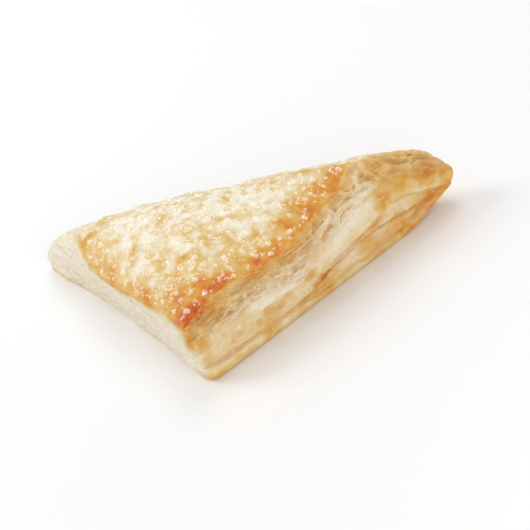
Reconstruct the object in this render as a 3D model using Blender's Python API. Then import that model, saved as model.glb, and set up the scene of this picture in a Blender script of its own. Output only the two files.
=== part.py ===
"""An apple turnover as one solid: a square of puff pastry folded over its filling, baked and sugared.

The fold runs along X at the back, the square's two free corners meet at the front, and Z is up.
"""

import random
from itertools import product
from math import pi, sqrt

import bmesh
import bpy
import numpy as np
from mathutils import Euler, Vector, noise

# The folded square of dough
DOUGH_EDGE = 0.133
FRONT_X = -0.0010
FRONT_Y = -0.0488
HALF_FOLD = DOUGH_EDGE / sqrt(2)
FOLD_Y = FRONT_Y + HALF_FOLD
BASE_CORNER_RADIUS = 0.0048
BASE_CENTRE = Vector((0, 0.012, 0))
FLAT_SHARE = 0.72
FOLD_TUCK = 0.0050
LEFT_BASE_INSET = ((0.0, 0.0), (0.040, 0.0020), (0.080, 0.0026), (0.104, 0.0008),
                   (0.118, -0.0008), (0.133, 0.0008))
CURL_START = 0.106
CURL_LENGTH = 0.026
CURL_HEIGHT = 0.0065

# The browned top skin, which stops short of both ends of the fold
RIM_CORNER_RADIUS = 0.0026
RIM_LEFT_SHARE = 0.22
RIM_RIGHT_SHARE = 0.26
LEFT_RIM_INSET = ((0.0, 0.0005), (0.012, 0.0022), (0.080, 0.0024), (0.105, 0.0100))
RIGHT_RIM_INSET = ((0.0, 0.0005), (0.012, 0.0042), (0.026, 0.0036), (0.040, 0.0016),
                   (0.057, 0.0014), (0.068, 0.0070), (0.087, 0.0120), (0.100, 0.0185))
LEFT_RIM_HEIGHT = ((0.0, 0.0275), (0.030, 0.0250), (0.080, 0.0225), (0.105, 0.0230))
RIGHT_RIM_HEIGHT = ((0.0, 0.0275), (0.012, 0.0295), (0.060, 0.0300), (0.100, 0.0325))
BACK_RIM_HEIGHT = ((0.0, 0.0325), (0.3, 0.0305), (0.7, 0.0275), (1.0, 0.0230))
BACK_RIM_BOW = 0.0040
CROWN_HEIGHT = 0.0355
CROWN_CENTRE = Vector((-0.003, 0.006, 0))

# How square the walls stand: 1 is a slope, 2 a quarter round and more is boxier
LEFT_SQUARENESS = 1.6
RIGHT_SQUARENESS = 2.6
BACK_SQUARENESS = 2.6
LEFT_END_SQUARENESS = 1.6
RIGHT_END_SQUARENESS = 2.6
FOLD_BULGE = 0.0062
CUT_BULGE = 0.0006

# Layers that show on the right cut side, as places along it from the front corner and heights
LIP_TOP = ((0.005, 0.0070), (0.020, 0.0055), (0.050, 0.0036), (0.090, 0.0036),
           (0.108, 0.0050), (0.122, 0.0090))
FLAP_EDGE = ((0.045, 0.0050), (0.059, 0.0086), (0.074, 0.0120), (0.088, 0.0132),
             (0.103, 0.0108), (0.125, 0.0085))
RIDGE_EDGE = ((0.020, 0.0150), (0.042, 0.0158), (0.061, 0.0138), (0.083, 0.0156),
              (0.104, 0.0178), (0.114, 0.0143), (0.127, 0.0090))
RIDGE_CREST = ((0.020, 0.0175), (0.034, 0.0196), (0.050, 0.0176), (0.064, 0.0196),
               (0.092, 0.0258), (0.111, 0.0221), (0.127, 0.0155))
WALL_DEPTH = 0.0014
LIP_RELIEF = 0.0020
FLAP_RELIEF = 0.0016
RIDGE_RELIEF = 0.0030
CREVICE_RELIEF = 0.0014
CREVICE_REACH = 0.0022
# Hollows and blisters there, as place, height, half length, half height and depth
HOLLOWS = ((0.039, 0.0090, 0.0075, 0.0042, 0.0020), (0.0275, 0.0095, 0.0030, 0.0030, 0.0012),
           (0.0195, 0.0130, 0.0040, 0.0034, 0.0014), (0.113, 0.0040, 0.0070, 0.0034, 0.0016),
           (0.098, 0.0220, 0.0040, 0.0036, -0.0008), (0.118, 0.0190, 0.0055, 0.0042, -0.0010))
CELL_LENGTH = 0.011
CELL_HEIGHT = 0.0036
CELL_RELIEF = 0.0010
# Layers of the left cut side, as shares of its height
LEFT_LAYERS = (0.16, 0.40, 0.62, 0.86)
LEFT_LAYER_RELIEF = 0.0011
LEFT_LAYER_WAVE = 0.0016
EDGE_ROUNDING = 0.0022
TIP_ROUNDING = 0.0007
TIP_LENGTH = 0.020

# The top skin's relief, as the size of its bumps and their height
SWELLS = ((0.022, 0.0010), (0.009, 0.0005), (0.0045, 0.0003))
FOLD_SWELLS = ((0.018, 0.0008), (0.006, 0.0003))
SKIN_OVERHANG = 0.0007
SKIN_THICKNESS = 0.0022

# Mesh
COLUMNS = 42
SIDE_ROWS = 20
UNDER_ROWS = 3
LOOP_SAMPLES = 240
PROFILE_SAMPLES = 48
SHARPEST = 0.0016
CORNER_BLEND = 0.05

# Coarse sugar on the top skin
GRAINS = 140
GRAIN_SEED = 23
LARGEST_GRAIN = 0.0030
SMALLEST_GRAIN = 0.0018
GRAIN_TRIES = 24
GRAIN_SUNK = 0.34
GRAIN_CORNER_REACH = (0.72, 1.0)
GRAIN_MARGIN = 0.95

CREAM_CRUST = (0.78, 0.56, 0.28, 1.0)
CRUST_ROUGHNESS = 0.6


def curve(points, at):
    """The value at each place of a smooth line through a few points."""
    place, value = np.array(points, float).T
    slope = np.gradient(value, place)
    at = np.clip(at, place[0], place[-1])
    i = np.clip(np.searchsorted(place, at) - 1, 0, len(place) - 2)
    width = place[i + 1] - place[i]
    f = (at - place[i]) / width
    start = (1 + 2 * f) * (1 - f) ** 2 * value[i] + f * (1 - f) ** 2 * width * slope[i]
    end = f ** 2 * (3 - 2 * f) * value[i + 1] - f ** 2 * (1 - f) * width * slope[i + 1]
    return start + end


def ease(x):
    """0 below 0, 1 above 1 and a smooth step between."""
    x = np.clip(x, 0, 1)
    return x * x * (3 - 2 * x)


def swell(points, size, offset):
    """Smooth noise from -1 to 1 whose bumps have about this size."""
    shift = Vector((offset, -offset, 0.37 * offset))
    return np.array([noise.noise(Vector(p) / size + shift) for p in points])


def cell_walls(points, offset):
    """1 on the walls between irregular cells of size 1, falling to 0 inside them."""
    gaps = []
    for p in points:
        near = noise.voronoi(Vector((p[0], p[1], offset)))[0]
        gaps.append(near[1] - near[0])
    return np.exp(-np.array(gaps) / 0.22)


def rounded(loop, radius):
    """A closed loop of points, averaged over about this length so that its corners turn round."""
    step = np.linalg.norm(loop - np.roll(loop, 1, axis=0), axis=1).mean()
    reach = int(3 * radius / step)
    shifts = np.arange(-reach, reach + 1)
    weights = np.exp(-0.5 * (shifts * step / radius) ** 2)
    total = sum(w * np.roll(loop, k, axis=0) for k, w in zip(shifts, weights))
    return total / weights.sum()


def along_cut(place, inset, height, side):
    """Points on a cut side, side -1 left or 1 right, from places along it, insets and heights."""
    x = FRONT_X + side * (place - inset) / sqrt(2)
    y = FRONT_Y + (place + inset) / sqrt(2)
    return np.stack([x, y, height + 0 * x], axis=1)


def base_loop():
    """The lower edge, from the left end by the front corner to the right end and back along the fold."""
    t = np.arange(LOOP_SAMPLES) / LOOP_SAMPLES
    bow = np.sin(np.pi * t)
    curl_right = CURL_HEIGHT * ease((DOUGH_EDGE * t - CURL_START) / CURL_LENGTH)
    curl_back = CURL_HEIGHT * ease((DOUGH_EDGE - CURL_START - 2 * HALF_FOLD * t) / CURL_LENGTH)
    from_front = DOUGH_EDGE * (1 - t)
    left = along_cut(from_front, curve(LEFT_BASE_INSET, from_front), 0, -1)
    right = along_cut(DOUGH_EDGE * t, 0 * t, curl_right, 1)
    back_x = FRONT_X + HALF_FOLD * (1 - 2 * t)
    back = np.stack([back_x, FOLD_Y - FOLD_TUCK * bow, curl_back], axis=1)
    return rounded(np.concatenate([left, right, back]), BASE_CORNER_RADIUS)


def rim_loop():
    """The edge of the top skin, in the same order and with the same number of points."""
    t = np.arange(LOOP_SAMPLES) / LOOP_SAMPLES
    from_front = DOUGH_EDGE * (1 - t)
    left_place = from_front * (1 - RIM_LEFT_SHARE * (1 - t) ** 2)
    left = along_cut(left_place, curve(LEFT_RIM_INSET, left_place),
                     curve(LEFT_RIM_HEIGHT, left_place), -1)
    right_place = DOUGH_EDGE * t * (1 - RIM_RIGHT_SHARE * t ** 2)
    right = along_cut(right_place, curve(RIGHT_RIM_INSET, right_place),
                      curve(RIGHT_RIM_HEIGHT, right_place), 1)
    right_end = along_cut(np.array([DOUGH_EDGE * (1 - RIM_RIGHT_SHARE)]),
                          RIGHT_RIM_INSET[-1][1], 0, 1)[0]
    x = right_end[0] + (left[0, 0] - right_end[0]) * t
    y = right_end[1] + (left[0, 1] - right_end[1]) * t + BACK_RIM_BOW * np.sin(np.pi * t)
    back = np.stack([x, y, curve(BACK_RIM_HEIGHT, t)], axis=1)
    return rounded(np.concatenate([left, right, back]), RIM_CORNER_RADIUS)


def outward_of(loop):
    """The level direction that points out of a loop at each of its points."""
    along = np.roll(loop, -3, axis=0) - np.roll(loop, 3, axis=0)
    out = np.stack([along[:, 1], -along[:, 0], 0 * along[:, 0]], axis=1)
    return out / np.linalg.norm(out, axis=1)[:, None]


def squareness_loop():
    """How square the wall stands at each point of the loops."""
    t = np.arange(LOOP_SAMPLES) / LOOP_SAMPLES
    near_end = ease((t - 0.55) / 0.40)
    far_end = ease((0.45 - t) / 0.40)
    left = LEFT_SQUARENESS + (LEFT_END_SQUARENESS - LEFT_SQUARENESS) * far_end
    right = RIGHT_SQUARENESS + (RIGHT_END_SQUARENESS - RIGHT_SQUARENESS) * near_end
    back = (BACK_SQUARENESS + (RIGHT_END_SQUARENESS - BACK_SQUARENESS) * ease((0.2 - t) / 0.2)
            + (LEFT_END_SQUARENESS - BACK_SQUARENESS) * ease((t - 0.8) / 0.2))
    return rounded(np.concatenate([left, right, back])[:, None], 0.05)[:, 0]


def bulge_loop():
    """How far the wall bulges out half way up at each point of the loops."""
    t = np.arange(LOOP_SAMPLES) / LOOP_SAMPLES
    cut = np.full(LOOP_SAMPLES, CUT_BULGE)
    return np.concatenate([cut, cut, CUT_BULGE + FOLD_BULGE * np.sin(np.pi * t) ** 0.7])


def rounding_loop():
    """Radius of the lower edge at each point of the loops, smaller at the two sharp tips."""
    t = np.arange(LOOP_SAMPLES) / LOOP_SAMPLES
    from_tip = np.concatenate([DOUGH_EDGE * t, DOUGH_EDGE * (1 - t),
                               2 * HALF_FOLD * np.minimum(t, 1 - t)])
    return TIP_ROUNDING + (EDGE_ROUNDING - TIP_ROUNDING) * ease(from_tip / TIP_LENGTH)


def wall_profile(base, rim, out, squareness, bulge, rounding, rows):
    """Evenly spaced points up the wall from its rounded lower edge to its rim."""
    turn = np.linspace(0, np.pi / 2, PROFILE_SAMPLES)[:, None]
    across = 1 - np.cos(turn) ** (2 / squareness)
    up = np.clip(np.sin(turn) ** (2 / squareness), 0, 1)
    points = base + (rim - base) * np.concatenate([across, across, up], axis=1)
    points += out * bulge * np.sin(np.pi * up) ** 0.8
    short = np.clip(rounding - (points[:, 2:] - base[2]), 0, rounding)
    points -= out * (rounding - np.sqrt(rounding ** 2 - short ** 2))
    length = np.concatenate([[0], np.cumsum(np.linalg.norm(np.diff(points, axis=0), axis=1))])
    even = np.linspace(0, length[-1], rows + 1)
    return np.stack([np.interp(even, length, points[:, k]) for k in range(3)], axis=1)


def plain_wall(columns, rows):
    """Points of the wall without its relief, as rows from the base up."""
    base, rim = base_loop(), rim_loop()
    shapes = list(zip(base, rim, outward_of(base), squareness_loop(), bulge_loop(), rounding_loop()))
    picked = np.arange(3 * columns) * LOOP_SAMPLES // columns
    return np.array([wall_profile(*shapes[i], rows) for i in picked]).transpose(1, 0, 2)


def normals_of(grid):
    """Outward normals of a grid whose columns close on themselves."""
    around = np.roll(grid, -1, axis=1) - np.roll(grid, 1, axis=1)
    normal = np.cross(around, np.gradient(grid, axis=0))
    return normal / np.linalg.norm(normal, axis=2)[:, :, None]


def shelf(height, low, high, relief, sharp):
    """A layer that starts abruptly above low and fades out towards high."""
    rise = ease((height - low) / sharp + 0.5)
    fall = ease((high - height) / np.maximum(0.7 * (high - low), sharp))
    return relief * rise * fall


def hollow_relief(place, height, sharp):
    """The named hollows and blisters of the right cut side."""
    relief = np.zeros_like(place)
    for at, up, half_length, half_height, depth in HOLLOWS:
        reach = np.hypot((place - at) / half_length, (height - up) / half_height)
        relief -= depth * ease((1 - reach) * half_height / sharp)
    return relief


def right_cut_relief(place, height, share, sharp):
    """Relief of the right cut side from places along it, heights and shares of its height."""
    crest = curve(RIDGE_CREST, place)
    ridge_low = curve(RIDGE_EDGE, place)
    flap_low = curve(FLAP_EDGE, place)
    ridge_on = ease((place - 0.022) / 0.010)
    flap_on = ease((place - 0.044) / 0.012) * ease((0.122 - place) / 0.010)
    ridge = shelf(height, ridge_low, 2 * crest - ridge_low, RIDGE_RELIEF * ridge_on, sharp)
    flap = shelf(height, flap_low, crest, FLAP_RELIEF * flap_on, sharp)
    lip = LIP_RELIEF * ease((curve(LIP_TOP, place) - height) / sharp + 0.5)
    crevice = ease((height - flap_low + CREVICE_REACH) / CREVICE_REACH)
    crevice *= CREVICE_RELIEF * flap_on * ease((flap_low - height) / sharp + 0.5)
    cells = np.stack([place / CELL_LENGTH, (height - crest) / CELL_HEIGHT], axis=1)
    web = CELL_RELIEF * (cell_walls(cells, 3.0) - 0.45)
    web *= ease((height - crest) / CELL_HEIGHT) * ease((1 - share) / 0.12)
    layers = np.maximum(np.maximum(ridge, flap), lip) - WALL_DEPTH
    return layers - crevice + web + hollow_relief(place, height, sharp)


def left_cut_relief(place, height, share, sharp):
    """Relief of the left cut side, whose thin layers run the length of it."""
    spots = np.stack([place, 0 * place, 0 * place], axis=1)
    full_height = height / np.maximum(share, 0.05)
    relief = np.zeros_like(place)
    for number, level in enumerate(LEFT_LAYERS):
        low = level * full_height + LEFT_LAYER_WAVE * swell(spots, 0.020, 5.0 + number)
        strength = LEFT_LAYER_RELIEF * (0.8 + 0.5 * swell(spots, 0.014, 11.0 + number))
        relief = np.maximum(relief, shelf(height, low, low + 0.3 * full_height, strength, sharp))
    return relief - 0.6 * LEFT_LAYER_RELIEF


def skin_relief(points, swells, offset):
    """Bumps of the top skin or the fold."""
    relief = np.zeros(len(points))
    for number, (size, depth) in enumerate(swells):
        relief += depth * swell(points, size, offset + number)
    return relief


def wall_relief(wall, columns, sharp):
    """How far each point of the wall stands out of its plain form."""
    rows, count = wall.shape[:2]
    points = wall.reshape(-1, 3)
    x, y, height = points.T
    edge = np.tile(np.arange(count) / columns, rows)
    share = np.repeat(np.linspace(0, 1, rows), count)
    aside, behind = x - FRONT_X, y - FRONT_Y
    left = left_cut_relief((behind - aside) / sqrt(2), height, share, sharp)
    right = right_cut_relief((behind + aside) / sqrt(2), height, share, sharp)
    back = skin_relief(points, FOLD_SWELLS, 40.0)
    left_of_fold = np.where(edge < 1.5, edge, edge - 3)
    past_left = ease(left_of_fold / CORNER_BLEND + 0.5)
    past_front = ease((edge - 1) / CORNER_BLEND + 0.5)
    past_right = ease((edge - 2) / CORNER_BLEND + 0.5)
    on_right = past_front * (1 - past_right)
    on_back = (1 - past_left) * np.where(edge < 1.5, 1, past_right)
    relief = right * on_right + back * on_back + left * (1 - on_right - on_back)
    length = np.linalg.norm(np.diff(wall, axis=0), axis=2).sum(axis=0)
    from_rim = (1 - share) * np.tile(length, rows)
    hem = ease((SKIN_THICKNESS - from_rim) / sharp + 0.5) * (1 - past_right)
    relief += (SKIN_OVERHANG - relief) * hem
    lift = np.tile(wall[0, :, 2], rows)
    relief *= ease((height - lift) / (EDGE_ROUNDING + lift))
    return relief.reshape(rows, count)


def rim_index(i, j, side):
    """Which point of a loop with three equal sides is at the border of a triangular grid."""
    if i + j == side and j < side:
        return j
    if i == 0 and j > 0:
        return 2 * side - j
    return 2 * side + i


def skin_point(i, j, columns, rim):
    """A point of the top skin, a scaled copy of the rim drawn in towards the crown."""
    least = min(i, j, columns - i - j)
    side = columns - 3 * least
    if side <= 0:
        return Vector((*CROWN_CENTRE.xy, CROWN_HEIGHT))
    at = rim_index(i - least, j - least, side) / side * LOOP_SAMPLES
    low, part = int(at) % len(rim), at - int(at)
    edge = Vector(rim[low]).lerp(Vector(rim[(low + 1) % len(rim)]), part)
    out = side / columns
    flat = CROWN_CENTRE.xy.lerp(edge.xy, out)
    return Vector((*flat, edge.z + (CROWN_HEIGHT - edge.z) * (1 - out ** 2)))


def pastry_shape(columns, rows, under_rows, sharp):
    """Points and faces of the whole pastry: underside, wall and top skin."""
    wall = plain_wall(columns, rows)
    relief = wall_relief(wall, columns, sharp)
    crust = wall + normals_of(wall) * relief[:, :, None]
    crust[-1, :, 2] += skin_relief(wall[-1], SWELLS, 0.0)
    centre = np.array(BASE_CENTRE)
    flat = (centre + FLAT_SHARE * (wall[0] - centre)) * [1, 1, 0]
    share = (np.arange(under_rows) / under_rows)[:, None, None]
    under = flat + (wall[0] - flat) * share
    under[:, :, 2] = wall[0, :, 2] * share[:, :, 0] ** 2
    points = list(under.reshape(-1, 3)) + list(crust.reshape(-1, 3))
    count = 3 * columns
    rim_start = (under_rows + rows) * count

    rim = rim_loop()
    index = {}
    for i in range(columns + 1):
        for j in range(columns + 1 - i):
            if min(i, j, columns - i - j) == 0:
                index[i, j] = rim_start + rim_index(i, j, columns)
            else:
                index[i, j] = len(points)
                spot = skin_point(i, j, columns, rim)
                spot.z += skin_relief([spot], SWELLS, 0.0)[0]
                points.append(spot)

    faces = [tuple(reversed(range(count)))]
    for row in range(under_rows + rows):
        for column in range(count):
            a, b = row * count + column, row * count + (column + 1) % count
            faces.append((a, b, b + count, a + count))
    for i, j in index:
        if i + j < columns:
            faces.append((index[i, j], index[i + 1, j], index[i, j + 1]))
        if i + j < columns - 1:
            faces.append((index[i + 1, j], index[i + 1, j + 1], index[i, j + 1]))
    return points, faces


def add_object(name, points, faces, collection):
    """A mesh object from points and faces, split into triangles."""
    mesh = bpy.data.meshes.new(name)
    mesh.from_pydata([tuple(p) for p in points], [], faces)
    shape = bmesh.new()
    shape.from_mesh(mesh)
    bmesh.ops.triangulate(shape, faces=shape.faces[:])
    shape.to_mesh(mesh)
    shape.free()
    made = bpy.data.objects.new(name, mesh)
    collection.objects.link(made)
    return made


def grain_sizes():
    """Lengths of the coarse grains, largest first."""
    share = np.linspace(0, 1, GRAINS) ** 0.6
    return LARGEST_GRAIN + (SMALLEST_GRAIN - LARGEST_GRAIN) * share


def grain_spots(chance):
    """Places of the grains on the top skin, each the most open of a few drawn at random."""
    rim = rim_loop()
    spots = []
    for _ in range(GRAINS):
        tries = []
        for _ in range(GRAIN_TRIES):
            edge = Vector(rim[chance.randrange(len(rim))]).xy
            out = GRAIN_MARGIN * sqrt(chance.random())
            tries.append(CROWN_CENTRE.xy.lerp(edge, out))
        spots.append(max(tries, key=lambda spot: min(((spot - s).length for s in spots), default=1)))
    return spots


def grain_shape(chance, length):
    """Corners of one blocky crystal about the origin."""
    size = Vector((length, length * chance.uniform(0.7, 1.0), length * chance.uniform(0.55, 0.85)))
    turn = Euler([chance.uniform(0, 2 * pi) for _ in range(3)]).to_matrix()
    corners = []
    for signs in product((-0.5, 0.5), repeat=3):
        corners.append(turn @ (Vector(signs) * size * chance.uniform(*GRAIN_CORNER_REACH)))
    return corners


def add_grains(pastry, collection):
    """Coarse sugar grains that stand on the top skin."""
    chance = random.Random(GRAIN_SEED)
    high = 2 * CROWN_HEIGHT
    for number, (spot, length) in enumerate(zip(grain_spots(chance), grain_sizes())):
        corners = grain_shape(chance, length)
        found, place, normal, _ = pastry.ray_cast(Vector((*spot, high)), Vector((0, 0, -1)))
        if not found:
            raise RuntimeError("a sugar grain lies beside the pastry")
        lowest = min(corner.dot(normal) for corner in corners)
        tallest = max(corner.dot(normal) for corner in corners)
        lift = normal * (-lowest - GRAIN_SUNK * (tallest - lowest))
        shape = bmesh.new()
        for corner in corners:
            shape.verts.new(place + corner + lift)
        bmesh.ops.convex_hull(shape, input=shape.verts[:])
        loose = [corner for corner in shape.verts if not corner.link_faces]
        bmesh.ops.delete(shape, geom=loose, context="VERTS")
        mesh = bpy.data.meshes.new(f"grain_{number}")
        shape.to_mesh(mesh)
        shape.free()
        collection.objects.link(bpy.data.objects.new(mesh.name, mesh))


def fuse(pastry, collection):
    """One Boolean union of the pastry with the collection's objects, which are then removed."""
    union = pastry.modifiers.new("fuse", "BOOLEAN")
    union.operation = "UNION"
    union.operand_type = "COLLECTION"
    union.collection = collection
    union.solver = "EXACT"
    bpy.context.view_layer.update()
    fused = bpy.data.meshes.new_from_object(pastry.evaluated_get(bpy.context.evaluated_depsgraph_get()))
    pastry.modifiers.clear()
    pastry.data = fused
    for grain in list(collection.objects):
        bpy.data.objects.remove(grain)
    bpy.data.collections.remove(collection)


def crust_material():
    """Plain baked pastry for the solid."""
    material = bpy.data.materials.new("baked_crust")
    material.use_nodes = True
    shader = material.node_tree.nodes["Principled BSDF"]
    shader.inputs["Base Color"].default_value = CREAM_CRUST
    shader.inputs["Roughness"].default_value = CRUST_ROUGHNESS
    return material


def main():
    for old in list(bpy.data.objects):
        bpy.data.objects.remove(old)
    points, faces = pastry_shape(COLUMNS, SIDE_ROWS, UNDER_ROWS, SHARPEST)
    pastry = add_object("turnover", points, faces, bpy.context.scene.collection)
    grains = bpy.data.collections.new("grains")
    bpy.context.scene.collection.children.link(grains)
    add_grains(pastry, grains)
    fuse(pastry, grains)
    pastry.data.materials.clear()
    pastry.data.materials.append(crust_material())


main()
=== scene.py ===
"""An apple turnover of puff pastry, baked golden and covered in coarse sugar, on a pale studio floor."""

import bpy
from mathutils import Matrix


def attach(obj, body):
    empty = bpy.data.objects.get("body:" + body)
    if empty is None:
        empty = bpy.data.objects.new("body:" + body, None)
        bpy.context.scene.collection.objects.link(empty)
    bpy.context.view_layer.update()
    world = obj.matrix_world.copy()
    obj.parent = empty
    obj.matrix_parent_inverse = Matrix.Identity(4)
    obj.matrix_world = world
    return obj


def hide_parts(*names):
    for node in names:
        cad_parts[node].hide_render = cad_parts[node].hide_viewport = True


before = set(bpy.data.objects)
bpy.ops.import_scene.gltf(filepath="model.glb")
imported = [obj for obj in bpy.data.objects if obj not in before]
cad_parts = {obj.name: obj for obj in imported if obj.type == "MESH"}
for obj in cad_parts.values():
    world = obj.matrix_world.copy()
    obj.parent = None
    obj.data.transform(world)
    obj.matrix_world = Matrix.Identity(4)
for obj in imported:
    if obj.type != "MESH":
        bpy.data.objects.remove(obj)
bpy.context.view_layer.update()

import random
from itertools import product
from math import cos, pi, radians, sin, sqrt

import bmesh
import bpy
import numpy as np
from bpy.props import FloatProperty, FloatVectorProperty, IntProperty, PointerProperty
from bpy.types import Operator, Panel, PropertyGroup
from mathutils import Euler, Matrix, Vector, noise

bl_info = {
    "name": "Apple Turnover",
    "version": (1, 0, 0),
    "blender": (4, 5, 0),
    "location": "3D View > Sidebar > Turnover",
    "description": "Bakes a sugared puff pastry turnover piece by piece and sets it on a studio floor",
    "category": "Add Mesh",
}

NODE = "turnover"
BODY = "root"

# The folded square of dough
FRONT_X = -0.001
FRONT_Y = -0.0488
BASE_CORNER_RADIUS = 0.0048
BASE_CENTRE = Vector((0, 0.012, 0))
FLAT_SHARE = 0.72
FOLD_TUCK = 0.005
LEFT_BASE_INSET = ((0.0, 0.0), (0.04, 0.002), (0.08, 0.0026), (0.104, 0.0008),
                   (0.118, -0.0008), (0.133, 0.0008))
CURL_START = 0.106
CURL_LENGTH = 0.026

# The browned top skin, which stops short of both ends of the fold
RIM_CORNER_RADIUS = 0.0026
RIM_LEFT_SHARE = 0.22
RIM_RIGHT_SHARE = 0.26
LEFT_RIM_INSET = ((0.0, 0.0005), (0.012, 0.0022), (0.08, 0.0024), (0.105, 0.01))
RIGHT_RIM_INSET = ((0.0, 0.0005), (0.012, 0.0042), (0.026, 0.0036), (0.04, 0.0016),
                   (0.057, 0.0014), (0.068, 0.007), (0.087, 0.012), (0.1, 0.0185))
LEFT_RIM_HEIGHT = ((0.0, 0.0275), (0.03, 0.025), (0.08, 0.0225), (0.105, 0.023))
RIGHT_RIM_HEIGHT = ((0.0, 0.0275), (0.012, 0.0295), (0.06, 0.03), (0.1, 0.0325))
BACK_RIM_HEIGHT = ((0.0, 0.0325), (0.3, 0.0305), (0.7, 0.0275), (1.0, 0.023))
BACK_RIM_BOW = 0.004
CROWN_CENTRE = Vector((-0.003, 0.006, 0))

# How square the walls stand: 1 is a slope, 2 a quarter round and more is boxier
LEFT_SQUARENESS = 1.6
RIGHT_SQUARENESS = 2.6
# Where along the fold they start to lean towards the left end, and how far that takes
SQUARENESS_CHANGE = (0.8, 0.2)
SQUARENESS_BLEND = 0.05
CUT_BULGE = 0.0006
BULGE_LENGTHWISE = 0.7
BULGE_UPWARD = 0.8

# Layers that show on the right cut side, as places along it from the front corner and heights
LIP_TOP = ((0.005, 0.007), (0.02, 0.0055), (0.05, 0.0036), (0.09, 0.0036),
           (0.108, 0.005), (0.122, 0.009))
FLAP_EDGE = ((0.045, 0.005), (0.056, 0.0074), (0.063, 0.01), (0.072, 0.0108), (0.088, 0.012),
             (0.1, 0.0106), (0.125, 0.0085))
RIDGE_EDGE = ((0.02, 0.015), (0.042, 0.0158), (0.061, 0.0138), (0.083, 0.0156),
              (0.104, 0.0178), (0.114, 0.0143), (0.127, 0.009))
RIDGE_CREST = ((0.02, 0.0175), (0.034, 0.0196), (0.05, 0.0176), (0.064, 0.0196),
               (0.092, 0.0258), (0.111, 0.0221), (0.127, 0.0155))
WALL_DEPTH = 0.0014
LIP_RELIEF = 0.002
FLAP_RELIEF = 0.0016
CREVICE_RELIEF = 0.003
CREVICE_REACH = 0.0026
SHELF_FADE = 0.7
# Where along the cut side these start or end, and over how far they come up or die away
RIDGE_START = (0.02, 0.022)
FLAP_START = (0.044, 0.012)
FLAP_END = (0.122, 0.01)
RIGHT_LAYER_START = (0.04, 0.03)
RIDGE_PALE_START = (0.022, 0.01)
# The smooth face of the ridge, from its foot to just above its crest
SMOOTH_ABOVE = 0.001
SMOOTH_TOP = 0.004
SMOOTH_FOOT = 0.002
RIDGE_SMOOTHNESS = 0.8
# How far above the ridge and the lip the crumb is open, and how it closes below the rim
RIDGE_FADE = 0.004
LIP_FADE = 0.003
RIM_FADE = 0.12
# Hollows and blisters of the right cut side, as place, height, half length, half height and depth
HOLLOWS = ((0.04, 0.0105, 0.0078, 0.0036, 0.0018), (0.0295, 0.0095, 0.0018, 0.0022, 0.0011),
           (0.0185, 0.01, 0.005, 0.0026, 0.0009), (0.053, 0.015, 0.0056, 0.0016, 0.0013),
           (0.115, 0.0045, 0.0085, 0.0032, 0.0018), (0.09, 0.007, 0.014, 0.004, 0.0006),
           (0.034, 0.017, 0.01, 0.0032, -0.0007), (0.097, 0.0218, 0.0042, 0.0034, -0.0009),
           (0.118, 0.0192, 0.0052, 0.0036, -0.0011))
HOLLOW_EDGE = 0.0016
HOLLOW_RIM = 0.0002
HOLLOW_RIM_WIDTH = 0.0006
# Cells of the open crumb above the ridge, and how thick their walls are
CELL_LENGTH = 0.01
CELL_HEIGHT = 0.004
CELL_RELIEF = 0.0021
CELL_WALL = (0.06, 0.34)
CELL_LEVEL = 0.35
CELL_OFFSET = 3.0
# Thin layers above the ridge, as shares of the way from its crest to the rim
RIGHT_LAYERS = (0.12, 0.3, 0.46, 0.64, 0.82)
RIGHT_LAYER_FADE = 0.0032
# Layers of the left cut side, as shares of its height
LEFT_LAYERS = (0.16, 0.4, 0.62, 0.86)
LEFT_LAYER_FADE = 0.3
LEFT_LAYER_DEPTH = 0.00066
# How strong the fine cells, the laminae and the pits are on the left cut side
LEFT_CRUMB = (0.7, 0.7, 0.6)
# Rounding of the lower edge, which is sharper at the tips
EDGE_ROUNDING = 0.0016
TIP_ROUNDING = 0.0007
TIP_LENGTH = 0.02

# Waves of noise, each as how much, the size of its bumps and its offset in the noise
SWELLS = ((0.001, 0.022, 0), (0.0005, 0.009, 1), (0.0003, 0.0045, 2))
FOLD_SWELLS = ((0.0008, 0.018, 40), (0.0003, 0.006, 41))
BLISTERS = ((0.00055, 0.006, 50), (0.0003, 0.0028, 51))
HOLLOW_BENDS = ((0.0026, 0.005, 13), (0.00156, 0.004, 14))
CELL_BEND = (0.0018, 0.009, 16)
LIP_WAVE = (0.0009, 0.009, 18)
FINE_CELL_BENDS = ((0.0016, 0.011, 0), (0.0005, 0.004, 1))
RIGHT_LAYER_WAVE = (0.0013, 0.018, 71)
LEFT_LAYER_WAVE = (0.0016, 0.02, 5)
FLAKE_WAVES = ((2.4, 0.0085, 0), (0.84, 0.003, 1))
RAGGED_HEM = (0.35, 0.0026, 60)
RAGGED_RIM = (0.00075, 0.0026, 63)
TIP_SPLIT_BEND = (0.0004, 0.002, 70)
MOTTLES = ((0.72, 0.0075, 0), (0.44, 0.0024, 1))
RIM_PATCHES = (0.5, 0.009, 82)
RIM_BAND_WAVE = (0.5, 0.009, 83)
SKIN_PATCH_BEND = (0.002, 0.006, 80)
SKIN_MOTTLES = ((0.14, 0.011, 86.011), (0.26, 0.005, 86.005), (0.12, 0.0022, 86.0022))
SIDE_PATCH_BEND = (0.0008, 0.004, 90)
FOLD_MOTTLES = ((0.16, 0.01, 91), (0.12, 0.004, 92))
GAP_BEND = (0.0004, 0.003, 110)
FOLD_SUGAR_CLUMPS = (2.0, 0.006, 101)
SUGAR_CLUMPING = (2.2, 0.006, 100)
GRAVEL = (1.5, 0.0022, 103)
# How far the thin layers stand out, and the wave by which that changes
RIGHT_LAYER_RELIEF = (0.0007, (0.0008, 0.012, 76))
LEFT_LAYER_RELIEF = (0.00088, (0.00055, 0.014, 11))

# The top skin and its edge
SKIN_OVERHANG = 0.0001
SKIN_THICKNESS = 0.0016
HEM_FADE = 0.003

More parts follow.
